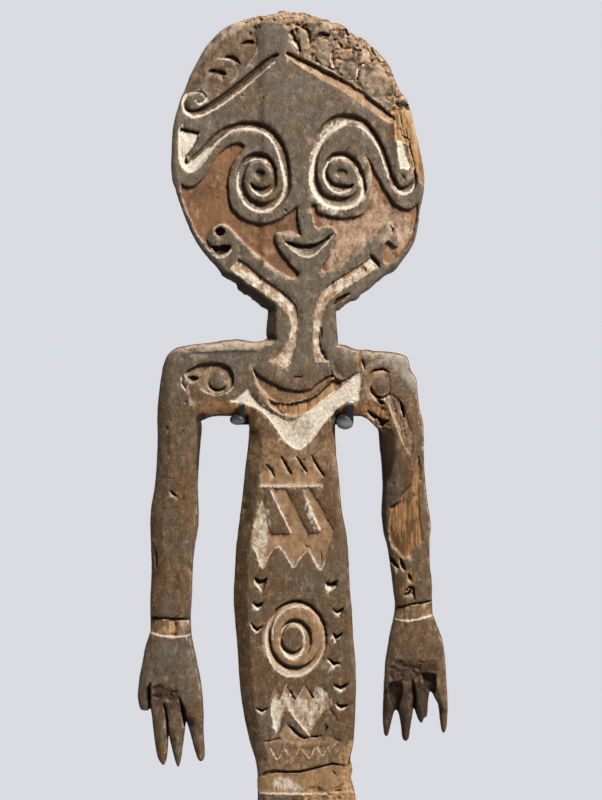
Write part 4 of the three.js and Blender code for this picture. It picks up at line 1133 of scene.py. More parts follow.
shell, shell_faces, DEPTH_GRID, INSET_GRID, USED = board_shell(BOARD)
x_mm = shell[:, 0] - SHEET_CENTRE
z_mm = SHEET_TOP - shell[:, 1]
rough_board = mesh_piece("rough_board", np.column_stack([x_mm, shell[:, 2], z_mm]), shell_faces)
collapse = rough_board.modifiers.new("collapse", "DECIMATE")
collapse.ratio = MOST_TRIANGLES / (2 * len(shell_faces))
graph = bpy.context.evaluated_depsgraph_get()
board_mesh = bpy.data.meshes.new_from_object(rough_board.evaluated_get(graph))
bpy.data.objects.remove(rough_board)
figure = placed("carved_figure", board_mesh)
board_mesh.shade_smooth()
board_mesh.set_sharp_from_angle(angle=np.radians(SHARP_WOOD))
print("board faces", len(shell_faces), "->", len(board_mesh.polygons))

# %% [markdown]
# ## Pigment, wear, bare wood and painted shade
# The paint lies in the cuts: lime on the lower walls of grooves and in the neck channels, red and yellow
# ochre on the cheeks. Smoke and handling darkened what stands up, rot laid the wood bare at the crown and
# on one arm. Light is painted as well: a painted shadow below each upper wall, painted shade in hollows,
# pits, cracks and between the fingers, and a painted highlight on lips, rims and shoulder tops that face
# the key light. Each of these is stored on the mesh as a strength from 0 to 1, which the finish breaks up
# into flakes and grain.

# %% Strengths on the mesh
def painted(fields, uv, soft=0.7):
    """Strength of paint: 1 inside a field, 0 outside and soft at its edge."""
    return eased(most(fields, uv), -soft, soft)


# how often the depth is averaged to get the level round a place, and the slope of the painted shadow that a
# wall throws away from the key light
LEVEL_PASSES, PAINTED_SHADOW_SLOPE = 14, 0.55


def under_walls(uv):
    """Painted shadow below each upper wall, lower lips that face the key light for a painted highlight, and
    how hollow each place is.
    """
    weight = softened(USED.astype(float), LEVEL_PASSES)
    level = softened(DEPTH_GRID, LEVEL_PASSES) / np.maximum(weight, 0.05)
    sheet = np.where(USED, DEPTH_GRID, level)
    here = sampled(sheet, uv)
    reaches = (1.2, 2.2, 3.4, 4.8)
    steps = [here - sampled(sheet, uv + STOP_CUT_AND_LIGHT_SIDE * far) - PAINTED_SHADOW_SLOPE * far for far in reaches]
    # painted shadow: a place lies in shadow where the depth towards the key light rises above the light's
    # slope
    painted_shadow = eased(np.max(steps, axis=0), -0.1, 1.1)
    # lip: the surface faces the key light here, and the lime and dust coats paint a highlight on it
    lip = eased(sampled(sheet, uv + STOP_CUT_AND_LIGHT_SIDE * 1.8) - here, 0.7, 2.0)
    hollow = here - sampled(level, uv)
    return painted_shadow, lip * (1 - painted_shadow), hollow


# what each coat lies on: fields, the line they are read along, softness of the edge in mm, strength
BUFFED = ((BUFF_FIELDS, "drawn", 1.0, 1.0), (BUFF_SOFT, "ragged", 3.0, 0.55))
BARED = ((BARE_FIELDS, "ragged", 1.0, 1.0), (BARE_SOFT, "ragged", 3.0, 0.5))
RUSTED = ((RUST_FIELDS, "ragged", 3.0, 0.66), ([THROAT_LEDGE], "drawn", 1.0, 0.3))
STRIPPED = ((STRIPPED_FIELDS, "drawn", 1.0, 1.0), (STRIPPED_SOFT, "ragged", 3.0, 0.5))
# on the shoulder tops the grey is partly a painted highlight
WORN_AND_LIT = ((SHOULDERS_WORN_AND_LIT, "ragged", 6.0, 0.8), (CROWN_LEFT_STANDING, "ragged", 2.0, 0.62))
# smoke-black and painted shade: the shadow fields, the notches, torn edges and the hollows between the
# fingers are painted shade; the crown field and knuckles only take a darker tone
SOOTED_AND_SHADED = (
    (PAINTED_SHADOW_FIELDS, "drawn", 1.6, 0.95), ([HAIR_FIELD], "drawn", 3.0, 0.42), (KNUCKLES, "ragged", 4.0, 0.8),
    (PAINTED_SHADE_SOFT + ARM_TEARS + LOCKS, "ragged", 3.0, 0.82), ([ARM_DARK], "ragged", 5.0, 0.46),
    (HAND_HOLLOWS + FINGER_CUTS, "ragged", 2.6, 0.9),
)


def strongest(*strengths):
    """The largest of several strengths at every vertex."""
    return np.max(strengths, axis=0)


def laid(at, table):
    """The strongest of a table's coats at every vertex."""
    return strongest(*[strength * painted(fields, at[line], soft) for fields, line, soft, strength in table])


def places(mesh):
    """What the coats are read from at every vertex: the drawn and two shaken lines, sides, painted shadow and
    highlight, and form.
    """
    co = np.zeros(len(mesh.vertices) * 3, np.float32)
    mesh.vertices.foreach_get("co", co)
    co = co.reshape(-1, 3) / MM
    uv = np.column_stack([co[:, 0] + SHEET_CENTRE, SHEET_TOP - co[:, 2]]).astype(float)
    front = eased(-co[:, 1], -2, 3)
    face = front * eased(sampled(INSET_GRID, uv), 0.2, 1.5)
    painted_shadow, lip, hollow = under_walls(uv)
    ragged, crumbly = torn_from(uv), uv + 1.5 * shaken(uv, 2.4, (101, 103), 2)
    rotten = np.maximum(eased(crown_rot(ragged), -1.5, 1.5), eased(CROWN_CRUST(ragged), -1, 1))
    tool, back = tool_marks(uv), eased(co[:, 1], 11, 14)
    return {
        "drawn": uv, "ragged": ragged, "crumbly": crumbly, "front": front, "face": face, "back": back,
        # the painted shadow below walls, lip: the painted highlight on lips facing the key light, hollow: how
        # far a place lies below its surroundings
        "painted_shadow": painted_shadow, "lip": lip, "hollow": hollow * face,
        "grooves": painted([SPIRAL_LEFT, SPIRAL_RIGHT, CROWN_CHANNEL_LEFT], uv, 1.0),
        "cheek": most([CHEEK_LEFT, CHEEK_RIGHT], uv),
        "rotten": rotten, "dug": back * eased(tool, 0.5, 0.68), "proud": back * eased(-tool, -0.48, -0.32),
        "runs": mottle(uv, 9, 130, 115, 3), "streaks": mottle(uv, 5, 5, 109, 3),
    }


def lime_coat(at):
    """Lime: full on scored lines and pale fields, streaky in the neck channels, a painted highlight on the
    chevrons' lit lips, and hidden under the painted shadow.
    """
    uv, crumbly = at["drawn"], at["crumbly"]
    flecks = eased(mottle(uv, 2.2, 3.4, 91, 3), 0.3, 0.62)
    channels = painted([NECK_CHANNEL_LEFT, NECK_CHANNEL_RIGHT], crumbly, 0.9)
    stain = eased(oval(301, 427, 15, 15)(uv), -1, 6)
    laid_on = strongest(
        painted(LIME_LINES, crumbly, 1.0) * (0.8 + 0.2 * mottle(uv, 6, 6, 107, 2)),
        painted(LIME_FIELDS, crumbly, 0.9) * (0.84 + 0.16 * flecks),
        channels * (0.2 + 0.25 * flecks + 0.42 * eased(at["streaks"], 0.4, 0.65)),
        painted(LIME_FAINT, at["ragged"], 2.5) * (0.3 + 0.42 * flecks),
    )
    left = strongest(
        laid_on * (1 - 0.35 * stain), 0.16 * at["grooves"],
        # lime on the chevrons' lips that face the key light: a painted highlight
        0.8 * at["lip"] * eased(most(CHEVRONS, uv), -1.5, 0),
    )
    # lime is hidden where the painted shadow falls
    return left * (1 - 0.85 * at["painted_shadow"])


def buff_coat(at):
    """Buff wash on the belly fields and between the upper bars, thin in grooves and rubbed off the bosses."""
    uv = at["drawn"]
    bars = eased(-most(UPPER_BARS, uv), -0.6, 0.6)
    buff = strongest(laid(at, BUFFED), eased(UPPER_FIELD(uv), -0.8, 0.8) * bars)
    boss = most([MEDAL_BOSS, BREAST_RIGHT_BOSS, BREAST_LEFT_BOSS], uv)
    return buff * (1 - 0.75 * at["grooves"]) * (1 - 0.85 * eased(boss, -0.5, 1.0))


def rust_coat(at):
    """Rust red on its own fields, blotched round the rim of each cheek and along the grooves."""
    uv, cheek = at["drawn"], at["cheek"]
    rim = eased(cheek, -0.5, 1) * (1 - eased(cheek, 3, 8))
    return strongest(
        laid(at, RUSTED), 1.05 * rim * eased(mottle(uv, 16, 14, 93, 2), 0.3, 0.6),
        0.5 * at["grooves"] * eased(mottle(uv, 7, 7, 121, 3), 0.3, 0.6),
    )


def bare_coat(at):
    """Bare wood at the crown and on blows, and on the tool marks' ridges behind."""
    bare = strongest(laid(at, BARED), 0.5 * at["rotten"])
    return bare * at["front"] + 0.5 * at["proud"] * eased(at["runs"], 0.48, 0.56)


def dust_and_highlight_coat(at):
    """Dust and painted highlight: a painted highlight on lower lips that face the key light, on lit lines and
    on the crown's rims; a pale dusty film on the right cheek and the splinter; paler on the crown's raised
    crumbs; thinly over the back.
    """
    uv, ragged = at["drawn"], at["ragged"]
    clear = 1 - painted(HAND_HOLLOWS, uv, 3.0)
    dust_and_highlight = strongest(
        # painted highlight on the lips that face the key light
        0.62 * at["lip"] * (0.45 + 0.9 * mottle(uv, 5, 5, 87, 3)) * clear,
        0.18 * eased(at["cheek"], 1, 5) * eased(mottle(uv, 13, 8, 95, 3), 0.45, 0.65),
        painted([*DUST_AND_HIGHLIGHT_LINES, SPLINTER_RIDGE], uv, 1.6) * 0.8 * (1 - at["painted_shadow"]),
        (0.36 + 0.26 * mottle(uv, 9, 9, 111, 3)) * painted(DUST_AND_HIGHLIGHT_FIELDS, ragged, 6.0),
        at["rotten"] * 0.36 * eased(-at["hollow"], -0.2, 1.2),
        (0.12 + 0.2 * at["streaks"]) * painted([PALE_SPLINTER], ragged, 2.0),
    )
    return np.clip(dust_and_highlight, 0, 1) * at["front"] + 0.3 * at["back"] * mottle(uv, 30, 60, 119, 3)


def warm_coat(at):
    """Brown wood showing through the smoke, least on the head and the left hand's back, and least on the
    shoulder tops, whose greyer tone is partly a painted highlight.
    """
    uv, front = at["drawn"], at["front"]
    u, v = uv[:, 0], uv[:, 1]
    head = 1 - eased(v, 320, 420)
    warm = np.clip(0.72 - 0.55 * head + 0.9 * (mottle(uv, 30, 45, 81, 3) - 0.5), 0, 1)
    warm = np.maximum(warm, 0.9 * painted(KNUCKLES, at["ragged"], 3.0))
    warm = warm * (1 - 0.55 * (u < 215) * eased(v, 636, 646) * (1 - eased(v, 688, 706)))
    warm = warm * (1 - 0.7 * painted(SHOULDERS_WORN_AND_LIT, uv, 4.0))
    return np.where(front > 0.3, warm, 0.8 - at["back"] * 1.3 * eased(at["runs"], 0.42, 0.62))


def soot_and_shade_coat(at, over):
    """Soot and painted shade: painted shadow below walls; painted shade in hollows no coat covers, in pits,
    cracks and holes and on the spiral floors; smoke-black and painted shade on the table's fields; dark
    flecks on the bare arm, crown, fingers and cheeks; dug marks and checks behind.
    """
    uv, ragged = at["drawn"], at["ragged"]
    # painted shadow below the upper walls
    below = 0.9 * at["painted_shadow"] * (0.75 + 0.4 * mottle(uv, 3, 3, 97, 2)) * (1 - 0.4 * at["grooves"])
    spirals, faint = painted([SPIRAL_LEFT, SPIRAL_RIGHT], uv, 1.0), painted(LIME_FAINT, uv, 3.0)
    crown = painted([HAIR_FIELD, CROWN_ROT], uv, 3.0)
    fingers = painted(FINGERS_BELOW[1:], ragged, 6.0)
    # the hollow term, the pits, cracks and holes and the spiral floors are painted shade; the table's rows
    # are partly painted shade
    soot_and_shade = strongest(
        below + 0.45 * eased(at["hollow"], 1.0, 3.6) * (1 - 0.7 * over), laid(at, SOOTED_AND_SHADED),
        eased(most(PITS + CRACKS + ARM_HOLES + EAR_PITS[:2], uv), -0.2, 0.8),
        0.58 * eased(ARM_BARE(uv), -1, 2) * eased(mottle(uv, 7, 16, 89, 2), 0.45, 0.6),
        0.34 * spirals * (1 - faint), 0.62 * crown * eased(mottle(uv, 6, 5, 105, 3), 0.48, 0.68),
        0.7 * fingers * (1 - 0.5 * eased(uv[:, 0], 424, 434)),
        0.62 * eased(at["cheek"], 0, 3) * eased(mottle(uv, 2.6, 2.2, 99, 2), 0.62, 0.8),
    )
    checks = eased(mottle(uv, 2.2, 70, 117, 2), 0.66, 0.74)
    return np.clip(soot_and_shade, 0, 1) * at["front"] + at["back"] * strongest(0.62 * at["dug"], 0.75 * checks)


def worn_coat(at):
    """Grey polish where the face stands proud, on cheeks and on the ridges behind, and on the shoulder tops,
    where it is partly a painted highlight.
    """
    uv = at["drawn"]
    worn = strongest(
        0.5 * eased(-at["hollow"], 0.3, 1.6) * eased(mottle(uv, 9, 12, 83, 3), 0.35, 0.65), laid(at, WORN_AND_LIT),
        0.6 * eased(at["cheek"], 4, 9) * eased(mottle(uv, 18, 14, 95, 2), 0.4, 0.65),
    )
    return worn * at["face"] + 0.75 * at["proud"]


def pigments(mesh):
    """Each coat's strength stored on the mesh."""
    at = places(mesh)
    face = at["face"]
    lime, ochre, buff = lime_coat(at), painted(OCHRE_FIELDS, at["drawn"], 1.0), buff_coat(at)
    stripped = laid(at, STRIPPED) * (1 - 0.25 * painted([PALE_SPLINTER], at["drawn"], 1.5))
    for name, values in (
        ("lime", lime * face), ("ochre", ochre * face), ("buff", buff * face), ("bare", bare_coat(at)),
        ("rust", rust_coat(at) * face), ("stripped", stripped * at["front"]), ("warm", warm_coat(at)),
        ("soot_and_shade", soot_and_shade_coat(at, strongest(lime, ochre, buff))), ("worn", worn_coat(at)),
        ("dust_and_highlight", dust_and_highlight_coat(at)),
    ):
        layer = mesh.attributes.new(name, "FLOAT", "POINT")
        layer.data.foreach_set("value", values.astype(np.float32))
        print(name, "covers", round(float((values > 0.5).mean()) * 100, 1), "% of the vertices")


pigments(board_mesh)

# %% [markdown]
# ## Finishes
# The wood is a dense brown hardwood, smoked almost black and then polished by handling, so it is matt in
# the hollows and faintly shiny where it stands up. Lime and ochre are dry powder paints, quite matt. Each
# layer below is one coat: where it is strong on the mesh it covers, and a pattern of flakes or grain breaks
# up its edge.

# %% Node helper and wood
def linear(code):
    """An sRGB hex colour as a shader's linear values: the standard two-part curve, then alpha 1."""
    c = np.array([int(code[k : k + 2], 16) for k in (0, 2, 4)]) / 255
    c = np.where(c <= 0.04045, c / 12.92, ((c + 0.055) / 1.055) ** 2.4)
    return (*c.tolist(), 1.0)


def add(tree, kind, inputs=None, out=0, **settings):
    """One shader node with its settings and inputs (values or other nodes' outputs). Returns its output."""
    made = tree.nodes.new(kind)
    for name, value in settings.items():
        setattr(made, name, value)
    for key, value in (inputs or {}).items():
        if isinstance(value, bpy.types.NodeSocket):
            tree.links.new(value, made.inputs[key])
        else:
            made.inputs[key].default_value = value
    return made.outputs[out]


def finish_of(name, values):
    """A new material with its shader's plain values set."""
    made = bpy.data.materials.new(name)
    made.use_nodes = True
    shader = made.node_tree.nodes["Principled BSDF"]
    for key, value in values.items():
        shader.inputs[key].default_value = value
    return made, made.node_tree, shader


# name, cell in mm, how many times longer along the grain, detail
PATTERNS = (
    ("grain", 1.6, 14.0, 4.0), ("figure", 6.0, 9.0, 3.0), ("patches", 20.0, 1.6, 4.0),
    ("blots", 6.5, 1.4, 5.0), ("specks", 1.7, 1.2, 3.0), ("flakes", 3.2, 1.3, 4.0),
)

# stored strength, pattern breaking it up and its share, where it starts and is full, most, two colours and
# the pattern between them
COATS = (
    ("plain", "patches", 1.0, 0.6, 1.05, 0.4, "5b5238", "6c6145", "blots"),
    ("warm", "patches", 0.6, 0.35, 1.3, 1.0, "46321d", "6c5135", "blots"),
    ("warm", "grain", 1.0, 1.1, 1.9, 0.14, "7d6246", "8a6d4c", "figure"),
    ("plain", "grain", -1.0, -0.4, -0.1, 0.15, "2a2017", "33271c", "figure"),
    ("plain", "specks", 1.0, 0.64, 1.0, 0.34, "8b7d68", "9c8b70", "patches"),
    ("plain", "specks", -1.0, -0.36, 0.0, 0.4, "2c221a", "372b21", "patches"),
    # worn: grey polish, which on the shoulder tops is partly a painted highlight
    ("worn", "blots", 0.6, 0.5, 1.2, 0.6, "8c8377", "a29a8d", "patches"),
    ("buff", "flakes", 0.6, 0.5, 1.2, 0.82, "7a5b3f", "a58663", "blots"),
    ("rust", "blots", 0.8, 0.55, 1.4, 0.85, "67431f", "99693a", "patches"),
    ("ochre", "blots", 0.7, 0.55, 1.0, 0.95, "5c3f28", "85603f", "patches"),
    ("ochre", "specks", -1.0, 0.5, 1.0, 0.4, "84492a", "6f4227", "patches"),
    ("bare", "flakes", 0.7, 0.6, 1.05, 1.0, "765638", "b08d62", "figure"),
    ("bare", "blots", -1.0, 0.6, 0.95, 0.5, "553b22", "6a4b2c", "grain"),
    ("stripped", "flakes", 0.6, 0.5, 1.05, 1.0, "4c2f18", "ad8354", "grain"),
    # dust: pale dust, and a painted highlight on lips, rims and lines that face the key light
    ("dust_and_highlight", "blots", 0.6, 0.35, 1.15, 0.85, "a38971", "c8b29c", "specks"),
    # soot: smoke black, and the painted shadow and shade below walls, in hollows, pits, cracks and between
    # the fingers
    ("soot_and_shade", "specks", 0.25, 0.25, 1.05, 0.92, "1a0e05", "2e1c0e", "patches"),
    ("lime", "flakes", 0.45, 0.4, 1.15, 0.94, "b2a592", "e2dccf", "specks"),
)


def smoked_wood():
    """Smoked, limed and ochred hardwood: a dark ground with the coats laid over it in order."""
    made, tree, shader = finish_of("smoked_limed_and_ochred_hardwood", {"Specular IOR Level": 0.32})
    spot = add(tree, "ShaderNodeTexCoord", out="Object")
    pattern = {}
    for name, cell, longer, detail in PATTERNS:
        scale = (1 / (cell * MM), 1 / (cell * MM), 1 / (cell * longer * MM))
        moved = add(tree, "ShaderNodeVectorMath", {0: spot, 1: scale}, operation="MULTIPLY")
        cloud = {"Vector": moved, "Scale": 1.0, "Detail": detail, "Roughness": 0.62}
        noise = add(tree, "ShaderNodeTexNoise", cloud)
        pattern[name] = add(tree, "ShaderNodeMapRange", {0: noise, 1: 0.32, 2: 0.68})
    smoked = {0: pattern["blots"], 6: linear("4b4136"), 7: linear("696052")}
    colour = add(tree, "ShaderNodeMix", smoked, out=2, data_type="RGBA")
    amount = {}
    for stored, broken_by, share, low, high, most_of_it, one, two, between_them in COATS:
        held = add(tree, "ShaderNodeAttribute", out="Fac", attribute_name=stored)
        parts = {0: pattern[broken_by], 1: share, 2: held}
        broken = add(tree, "ShaderNodeMath", parts, operation="MULTIPLY_ADD")
        stretch = {0: broken, 1: low, 2: high, 3: 0.0, 4: most_of_it}
        amount[stored] = add(tree, "ShaderNodeMapRange", stretch, interpolation_type="SMOOTHSTEP")
        tints = {0: pattern[between_them], 6: linear(one), 7: linear(two)}
        tint = add(tree, "ShaderNodeMix", tints, out=2, data_type="RGBA")
        layers = {0: amount[stored], 6: colour, 7: tint}
        colour = add(tree, "ShaderNodeMix", layers, out=2, data_type="RGBA")
    powder = add(tree, "ShaderNodeMath", {0: amount["lime"], 1: amount["bare"]}, operation="MAXIMUM")
    matt = add(tree, "ShaderNodeMapRange", {0: powder, 1: 0.0, 2: 0.8, 3: 0.62, 4: 0.9})
    fine = add(tree, "ShaderNodeMath", {0: pattern["blots"], 1: pattern["specks"]}, operation="ADD")
    height = add(tree, "ShaderNodeMath", {0: amount["lime"], 1: 0.5, 2: fine}, operation="MULTIPLY_ADD")
    bump = add(tree, "ShaderNodeBump", {"Height": height, "Strength": 0.5, "Distance": 0.0004})
    tree.links.new(colour, shader.inputs["Base Color"])
    tree.links.new(matt, shader.inputs["Roughness"])
    tree.links.new(bump, shader.inputs["Normal"])
    return made


board_mesh.materials.clear()
board_mesh.materials.append(smoked_wood())
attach(figure, "root")
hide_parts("figure")
print("figure painted with", len(COATS), "coats")

# %% [markdown]
# ## The steel cradle
# A mount-maker bends flat bar cold, so each hook has a small inner radius where it turns up and its tip is
# filed round. The bar is welded across a plain round rod, which stands in a socket in the foot plate.

# %% Steel pieces
def lofted(name, loops):
    """A closed mesh through loops of the same number of points, with a fan of faces closing each end."""
    loops = np.asarray(loops, float)
    n, m = loops.shape[:2]
    points = np.vstack([loops.reshape(-1, 3), loops[0].mean(0), loops[-1].mean(0)])
    k = np.arange(m)
    after = (k + 1) % m
    row = np.arange(n - 1)[:, None] * m
    sides = np.stack([row + k, row + after, row + m + after, row + m + k], -1).reshape(-1, 4)
    first = np.stack([np.full(m, n * m), after, k], 1)
    last = np.stack([np.full(m, n * m + 1), (n - 1) * m + k, (n - 1) * m + after], 1)
    mesh = bpy.data.meshes.new(name)
    mesh.from_pydata((points * MM).tolist(), [], sides.tolist() + first.tolist() + last.tolist())
    mesh.update()
    mesh.shade_smooth()
    mesh.set_sharp_from_angle(angle=np.radians(SHARP_STEEL))
    return placed(name, mesh)


def circle(count, radius=1.0):
    """Points round a circle, anticlockwise from the first way."""
    turn = np.linspace(0, 2 * np.pi, count, endpoint=False)
    return np.column_stack([np.cos(turn), np.sin(turn)]) * radius


def bar_section(wide, thick, radius):
    """A flat bar's section with rounded corners, as (across, through) pairs running anticlockwise."""
    turn = np.linspace(0, np.pi / 2, 6)
    runs = []
    for q, (sx, sy) in enumerate(((1, 1), (-1, 1), (-1, -1), (1, -1))):
        a = turn + q * np.pi / 2
        across = sx * (wide / 2 - radius) + radius * np.cos(a)
        runs.append(np.column_stack([across, sy * (thick / 2 - radius) + radius * np.sin(a)]))
    return np.vstack(runs)


def along_path(path, section, squeeze=None):
    """The section set square to a path in the Y-Z plane, its first way along X. Squeeze scales each loop."""
    path = np.asarray(path, float)
    way = np.gradient(path, axis=0)
    way /= np.linalg.norm(way, axis=1)[:, None]
    side = np.array([1.0, 0, 0])
    up = np.cross(way, side)
    squeeze = np.ones(len(path)) if squeeze is None else squeeze
    part = section[None] * squeeze[:, None, None]
    return path[:, None] + part[..., :1] * side + part[..., 1:] * up[:, None]


ROD_Y, ROD_RADIUS, ROD_FOOT, ROD_SIDES = 31.0, 6.0, 2.8, 48
WELD_X, WELD_RADIUS, WELD_RINGS = 5.6, 1.7, 40
BAR_BACK, BAR_FRONT, BAR_Z, BAR_HEIGHT = 26.0, 20.0, 783.3, 16.0
BAR_LEFT, BAR_RIGHT = -58.0, 56.5
STRAP_THICK, STRAP_Y, BEND = 3.0, -25.5, 3.5
# strap centre on the sheet, width, height of the run, tip; then its tube: left, right, run top, foot,
# mouth top
HOOKS = {
    "left": (242.0, 6.0, 779.5, 798.8, (229.8, 245.4, 783.7, 775.3, 786.2)),
    "right": (350.0, 7.0, 777.75, 800.3, (336.4, 353.6, 783.7, 770.8, 786.6)),
}


def rod():
    """Round bar from its socket to the top of the cross bar, with its upper edge turned off."""
    ring = circle(ROD_SIDES, ROD_RADIUS)
    top = BAR_Z + BAR_HEIGHT / 2
    heights = np.array([ROD_FOOT, *np.linspace(12, top - 1.2, 30), top - 0.8, top - 0.3, top - 0.05, top])
    size = np.array([1.0] * 31 + [0.98, 0.93, 0.86, 0.8])
    path = np.column_stack([np.zeros(len(heights)), np.full(len(heights), ROD_Y), heights])
    return lofted("cradle_rod", along_path(path, ring, size))


def cross_bar():
    """Flat bar on edge behind the shoulders, its arrises just broken with a file."""
    stops = ((0, 1.2), (0.15, 0.8), (0.5, 0.3), (1.2, 0.0))
    ends = [(BAR_LEFT + a, b) for a, b in stops] + [(BAR_RIGHT - a, b) for a, b in stops[::-1]]
    loops = []
    for x, inset in ends:
        part = bar_section(BAR_BACK - BAR_FRONT - inset, BAR_HEIGHT - inset, 0.9)
        y = (BAR_BACK + BAR_FRONT) / 2 + part[:, 0]
        loops.append(np.column_stack([np.full(len(part), x), y, BAR_Z + part[:, 1]]))
    return lofted("cradle_bar", loops)


def weld(side):
    """A bead of weld metal down the corner between rod and bar, with the ripples each drop leaves."""
    height = np.linspace(BAR_Z - BAR_HEIGHT / 2 + 0.8, BAR_Z + BAR_HEIGHT / 2 - 0.8, WELD_RINGS)
    ripple = 1 + 0.12 * np.abs(np.sin(height * 2.2))
    taper = np.sqrt(np.clip(1 - ((height - BAR_Z) / (BAR_HEIGHT / 2 - 0.7)) ** 8, 0.02, 1))
    across, back = np.full(WELD_RINGS, side * WELD_X), np.full(WELD_RINGS, BAR_BACK + 0.4)
    path = np.column_stack([across, back, height])
    loops = along_path(path, circle(14, WELD_RADIUS), ripple * taper)
    return lofted("cradle_weld_" + ("left" if side < 0 else "right"), loops)


def hook(name, centre, wide, run_z, tip_z):
    """Flat strap: forward from the bar under the armpit, a tight bend, then up to a filed round tip."""
    bend = np.linspace(0, np.pi / 2, 12)
    back = [(y, run_z) for y in np.linspace(BAR_FRONT + 2, STRAP_Y + BEND + 0.5, 12)]
    turn = [(STRAP_Y + BEND - BEND * np.sin(a), run_z + BEND - BEND * np.cos(a)) for a in bend]
    rise = [(STRAP_Y, z) for z in np.linspace(run_z + BEND + 0.5, tip_z - wide / 2, 8)]
    cap = np.linspace(0.12, 0.985, 10)
    tip = [(STRAP_Y, tip_z - wide / 2 + wide / 2 * c) for c in cap]
    line = np.array(back + turn + rise + tip)
    size = np.ones(len(line))
    size[-10:] = np.sqrt(1 - cap**2)
    path = np.column_stack([np.zeros(len(line)), line])
    loops = along_path(path, bar_section(wide, STRAP_THICK, 0.8), size)
    loops[..., 0] += centre - SHEET_CENTRE
    return lofted(f"cradle_hook_{name}", loops)


def tube_sleeve(name, left, right, run_top, foot, mouth_top):
    """Soft tubing over the hook: flat under the armpit, then springing open round the bend in front."""
    y = np.array([19.7, 19.5, 18.0, 10.0, 0.0, -10.0, -17.0, -20.35, -20.8, -21.6, -22.6])
    lip = np.array([0.75, 0.35, 0, 0, 0, 0, 0, 0, 0, 0, 0])
    bulge = np.sin(np.linspace(0.25, 1.5, 8))
    y = np.concatenate([y, -22.6 - 5.6 * bulge])
    lip = np.concatenate([lip, (run_top - foot) / 2 * (1 - np.sqrt(1 - bulge**2))])
    mouth = eased(-y, 20.3, 22.2)
    top = run_top + (mouth_top - run_top) * mouth
    rings = [*zip(y, top, lip, mouth)]
    c, s = circle(ROD_SIDES).T
    loops = []
    for place, roof, inset, opened in rings:
        square = 2 + 1.5 * (1 - opened)
        inset = inset + 1.0 * (1 - opened)
        radius = (np.abs(c) ** square + np.abs(s) ** square) ** (-1 / square)
        x = (left + right) / 2 - SHEET_CENTRE + ((right - left) / 2 - inset) * radius * c
        z = (roof + foot) / 2 + ((roof - foot) / 2 - inset) * radius * s
        loops.append(np.column_stack([x, np.full(ROD_SIDES, place), z]))
    return lofted(f"tube_sleeve_{name}", loops)


def satin_black():
    """Satin black paint on steel: an even dark coat, a little uneven from the brush."""
    plain = {"Base Color": linear("1d1f22"), "Roughness": 0.42}
    made, tree, shader = finish_of("satin_black_painted_steel", plain)
    spot = add(tree, "ShaderNodeTexCoord", out="Object")
    noise = add(tree, "ShaderNodeTexNoise", {"Vector": spot, "Scale": 260.0, "Detail": 3.0})
    rough = add(tree, "ShaderNodeMapRange", {0: noise, 1: 0.3, 2: 0.7, 3: 0.34, 4: 0.52})
    bump = add(tree, "ShaderNodeBump", {"Height": noise, "Strength": 0.12, "Distance": 0.0003})
    tree.links.new(rough, shader.inputs["Roughness"])
    tree.links.new(bump, shader.inputs["Normal"])
    return made


def two_toned(name, roughness, cloud, ragged, heights, tones):
    """A finish that turns from one tone to another between two heights, its line broken up by noise."""
    made, tree, shader = finish_of(name, {"Roughness": roughness})
    spot = add(tree, "ShaderNodeTexCoord", out="Object")
    noise = add(tree, "ShaderNodeTexNoise", {"Vector": spot, "Scale": cloud[0], "Detail": cloud[1]})
    height = add(tree, "ShaderNodeSeparateXYZ", {0: spot}, out=2)
    edge = add(tree, "ShaderNodeMath", {0: noise, 1: ragged, 2: height}, operation="MULTIPLY_ADD")
    span = {0: edge, 1: heights[0], 2: heights[1]}
    share = add(tree, "ShaderNodeMapRange", span, interpolation_type="SMOOTHSTEP")
    tints = {0: share, 6: linear(tones[0]), 7: linear(tones[1])}
    colour = add(tree, "ShaderNodeMix", tints, out=2, data_type="RGBA")
    tree.links.new(colour, shader.inputs["Base Color"])
    return made, tree, shader, noise, share


def hook_steel():
    """The same paint on the hooks, rubbed through to bright metal at the tips."""
    name, heights, tones = "black_steel_rubbed_bright_at_the_tip", (0.7965, 0.8015), ("0f1115", "b9bcc0")
    made, tree, shader, _, rubbed = two_toned(name, 0.42, (420.0, 3.0), 0.004, heights, tones)
    tree.links.new(rubbed, shader.inputs["Metallic"])
    return made


def grey_tubing():
    """Smoke-grey plastic tubing, dusty, with painted shade: near black on top where it lies in the armpit's
    shadow.
    """
    # the near black second tone is painted shade on the tube's top
    name, heights, tones = "smoke_grey_plastic_tubing", (0.7775, 0.7845), ("6c6f6d", "131314")
    made, tree, shader, noise, _ = two_toned(name, 0.3, (300.0, 2.0), 0.003, heights, tones)
    rough = add(tree, "ShaderNodeMapRange", {0: noise, 1: 0.3, 2: 0.7, 3: 0.4, 4: 0.6})
    tree.links.new(rough, shader.inputs["Roughness"])
    return made


black, bright, plastic = satin_black(), hook_steel(), grey_tubing()
steelwork = [rod(), cross_bar(), weld(-1), weld(1)]
for name, (centre, wide, run_z, tip_z, tube) in HOOKS.items():
    strap = hook(name, centre, wide, run_z, tip_z)
    strap.data.materials.append(bright)
    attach(strap, "root")
    sleeve = tube_sleeve(name, *tube)
    sleeve.data.materials.append(plastic)
    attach(sleeve, "root")
    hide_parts(f"sleeve_{name}")
for piece in steelwork:
    piece.data.materials.append(black)
    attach(piece, "root")
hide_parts("cradle")
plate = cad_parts["foot_plate"]
plate.data.materials.clear()
plate.data.materials.append(black)
print("stand pieces", len(steelwork) + 2 * len(HOOKS) + 1)

# %% [markdown]
# ## Floor, light and camera
# The board was photographed against a plain pale ground. The main light stands high on the right and grazes
# the face, which throws a shadow below every upper edge. A broad soft light from the left keeps the hollows
# readable. The ground is round, so that the sides and the back stand before the same pale tone.

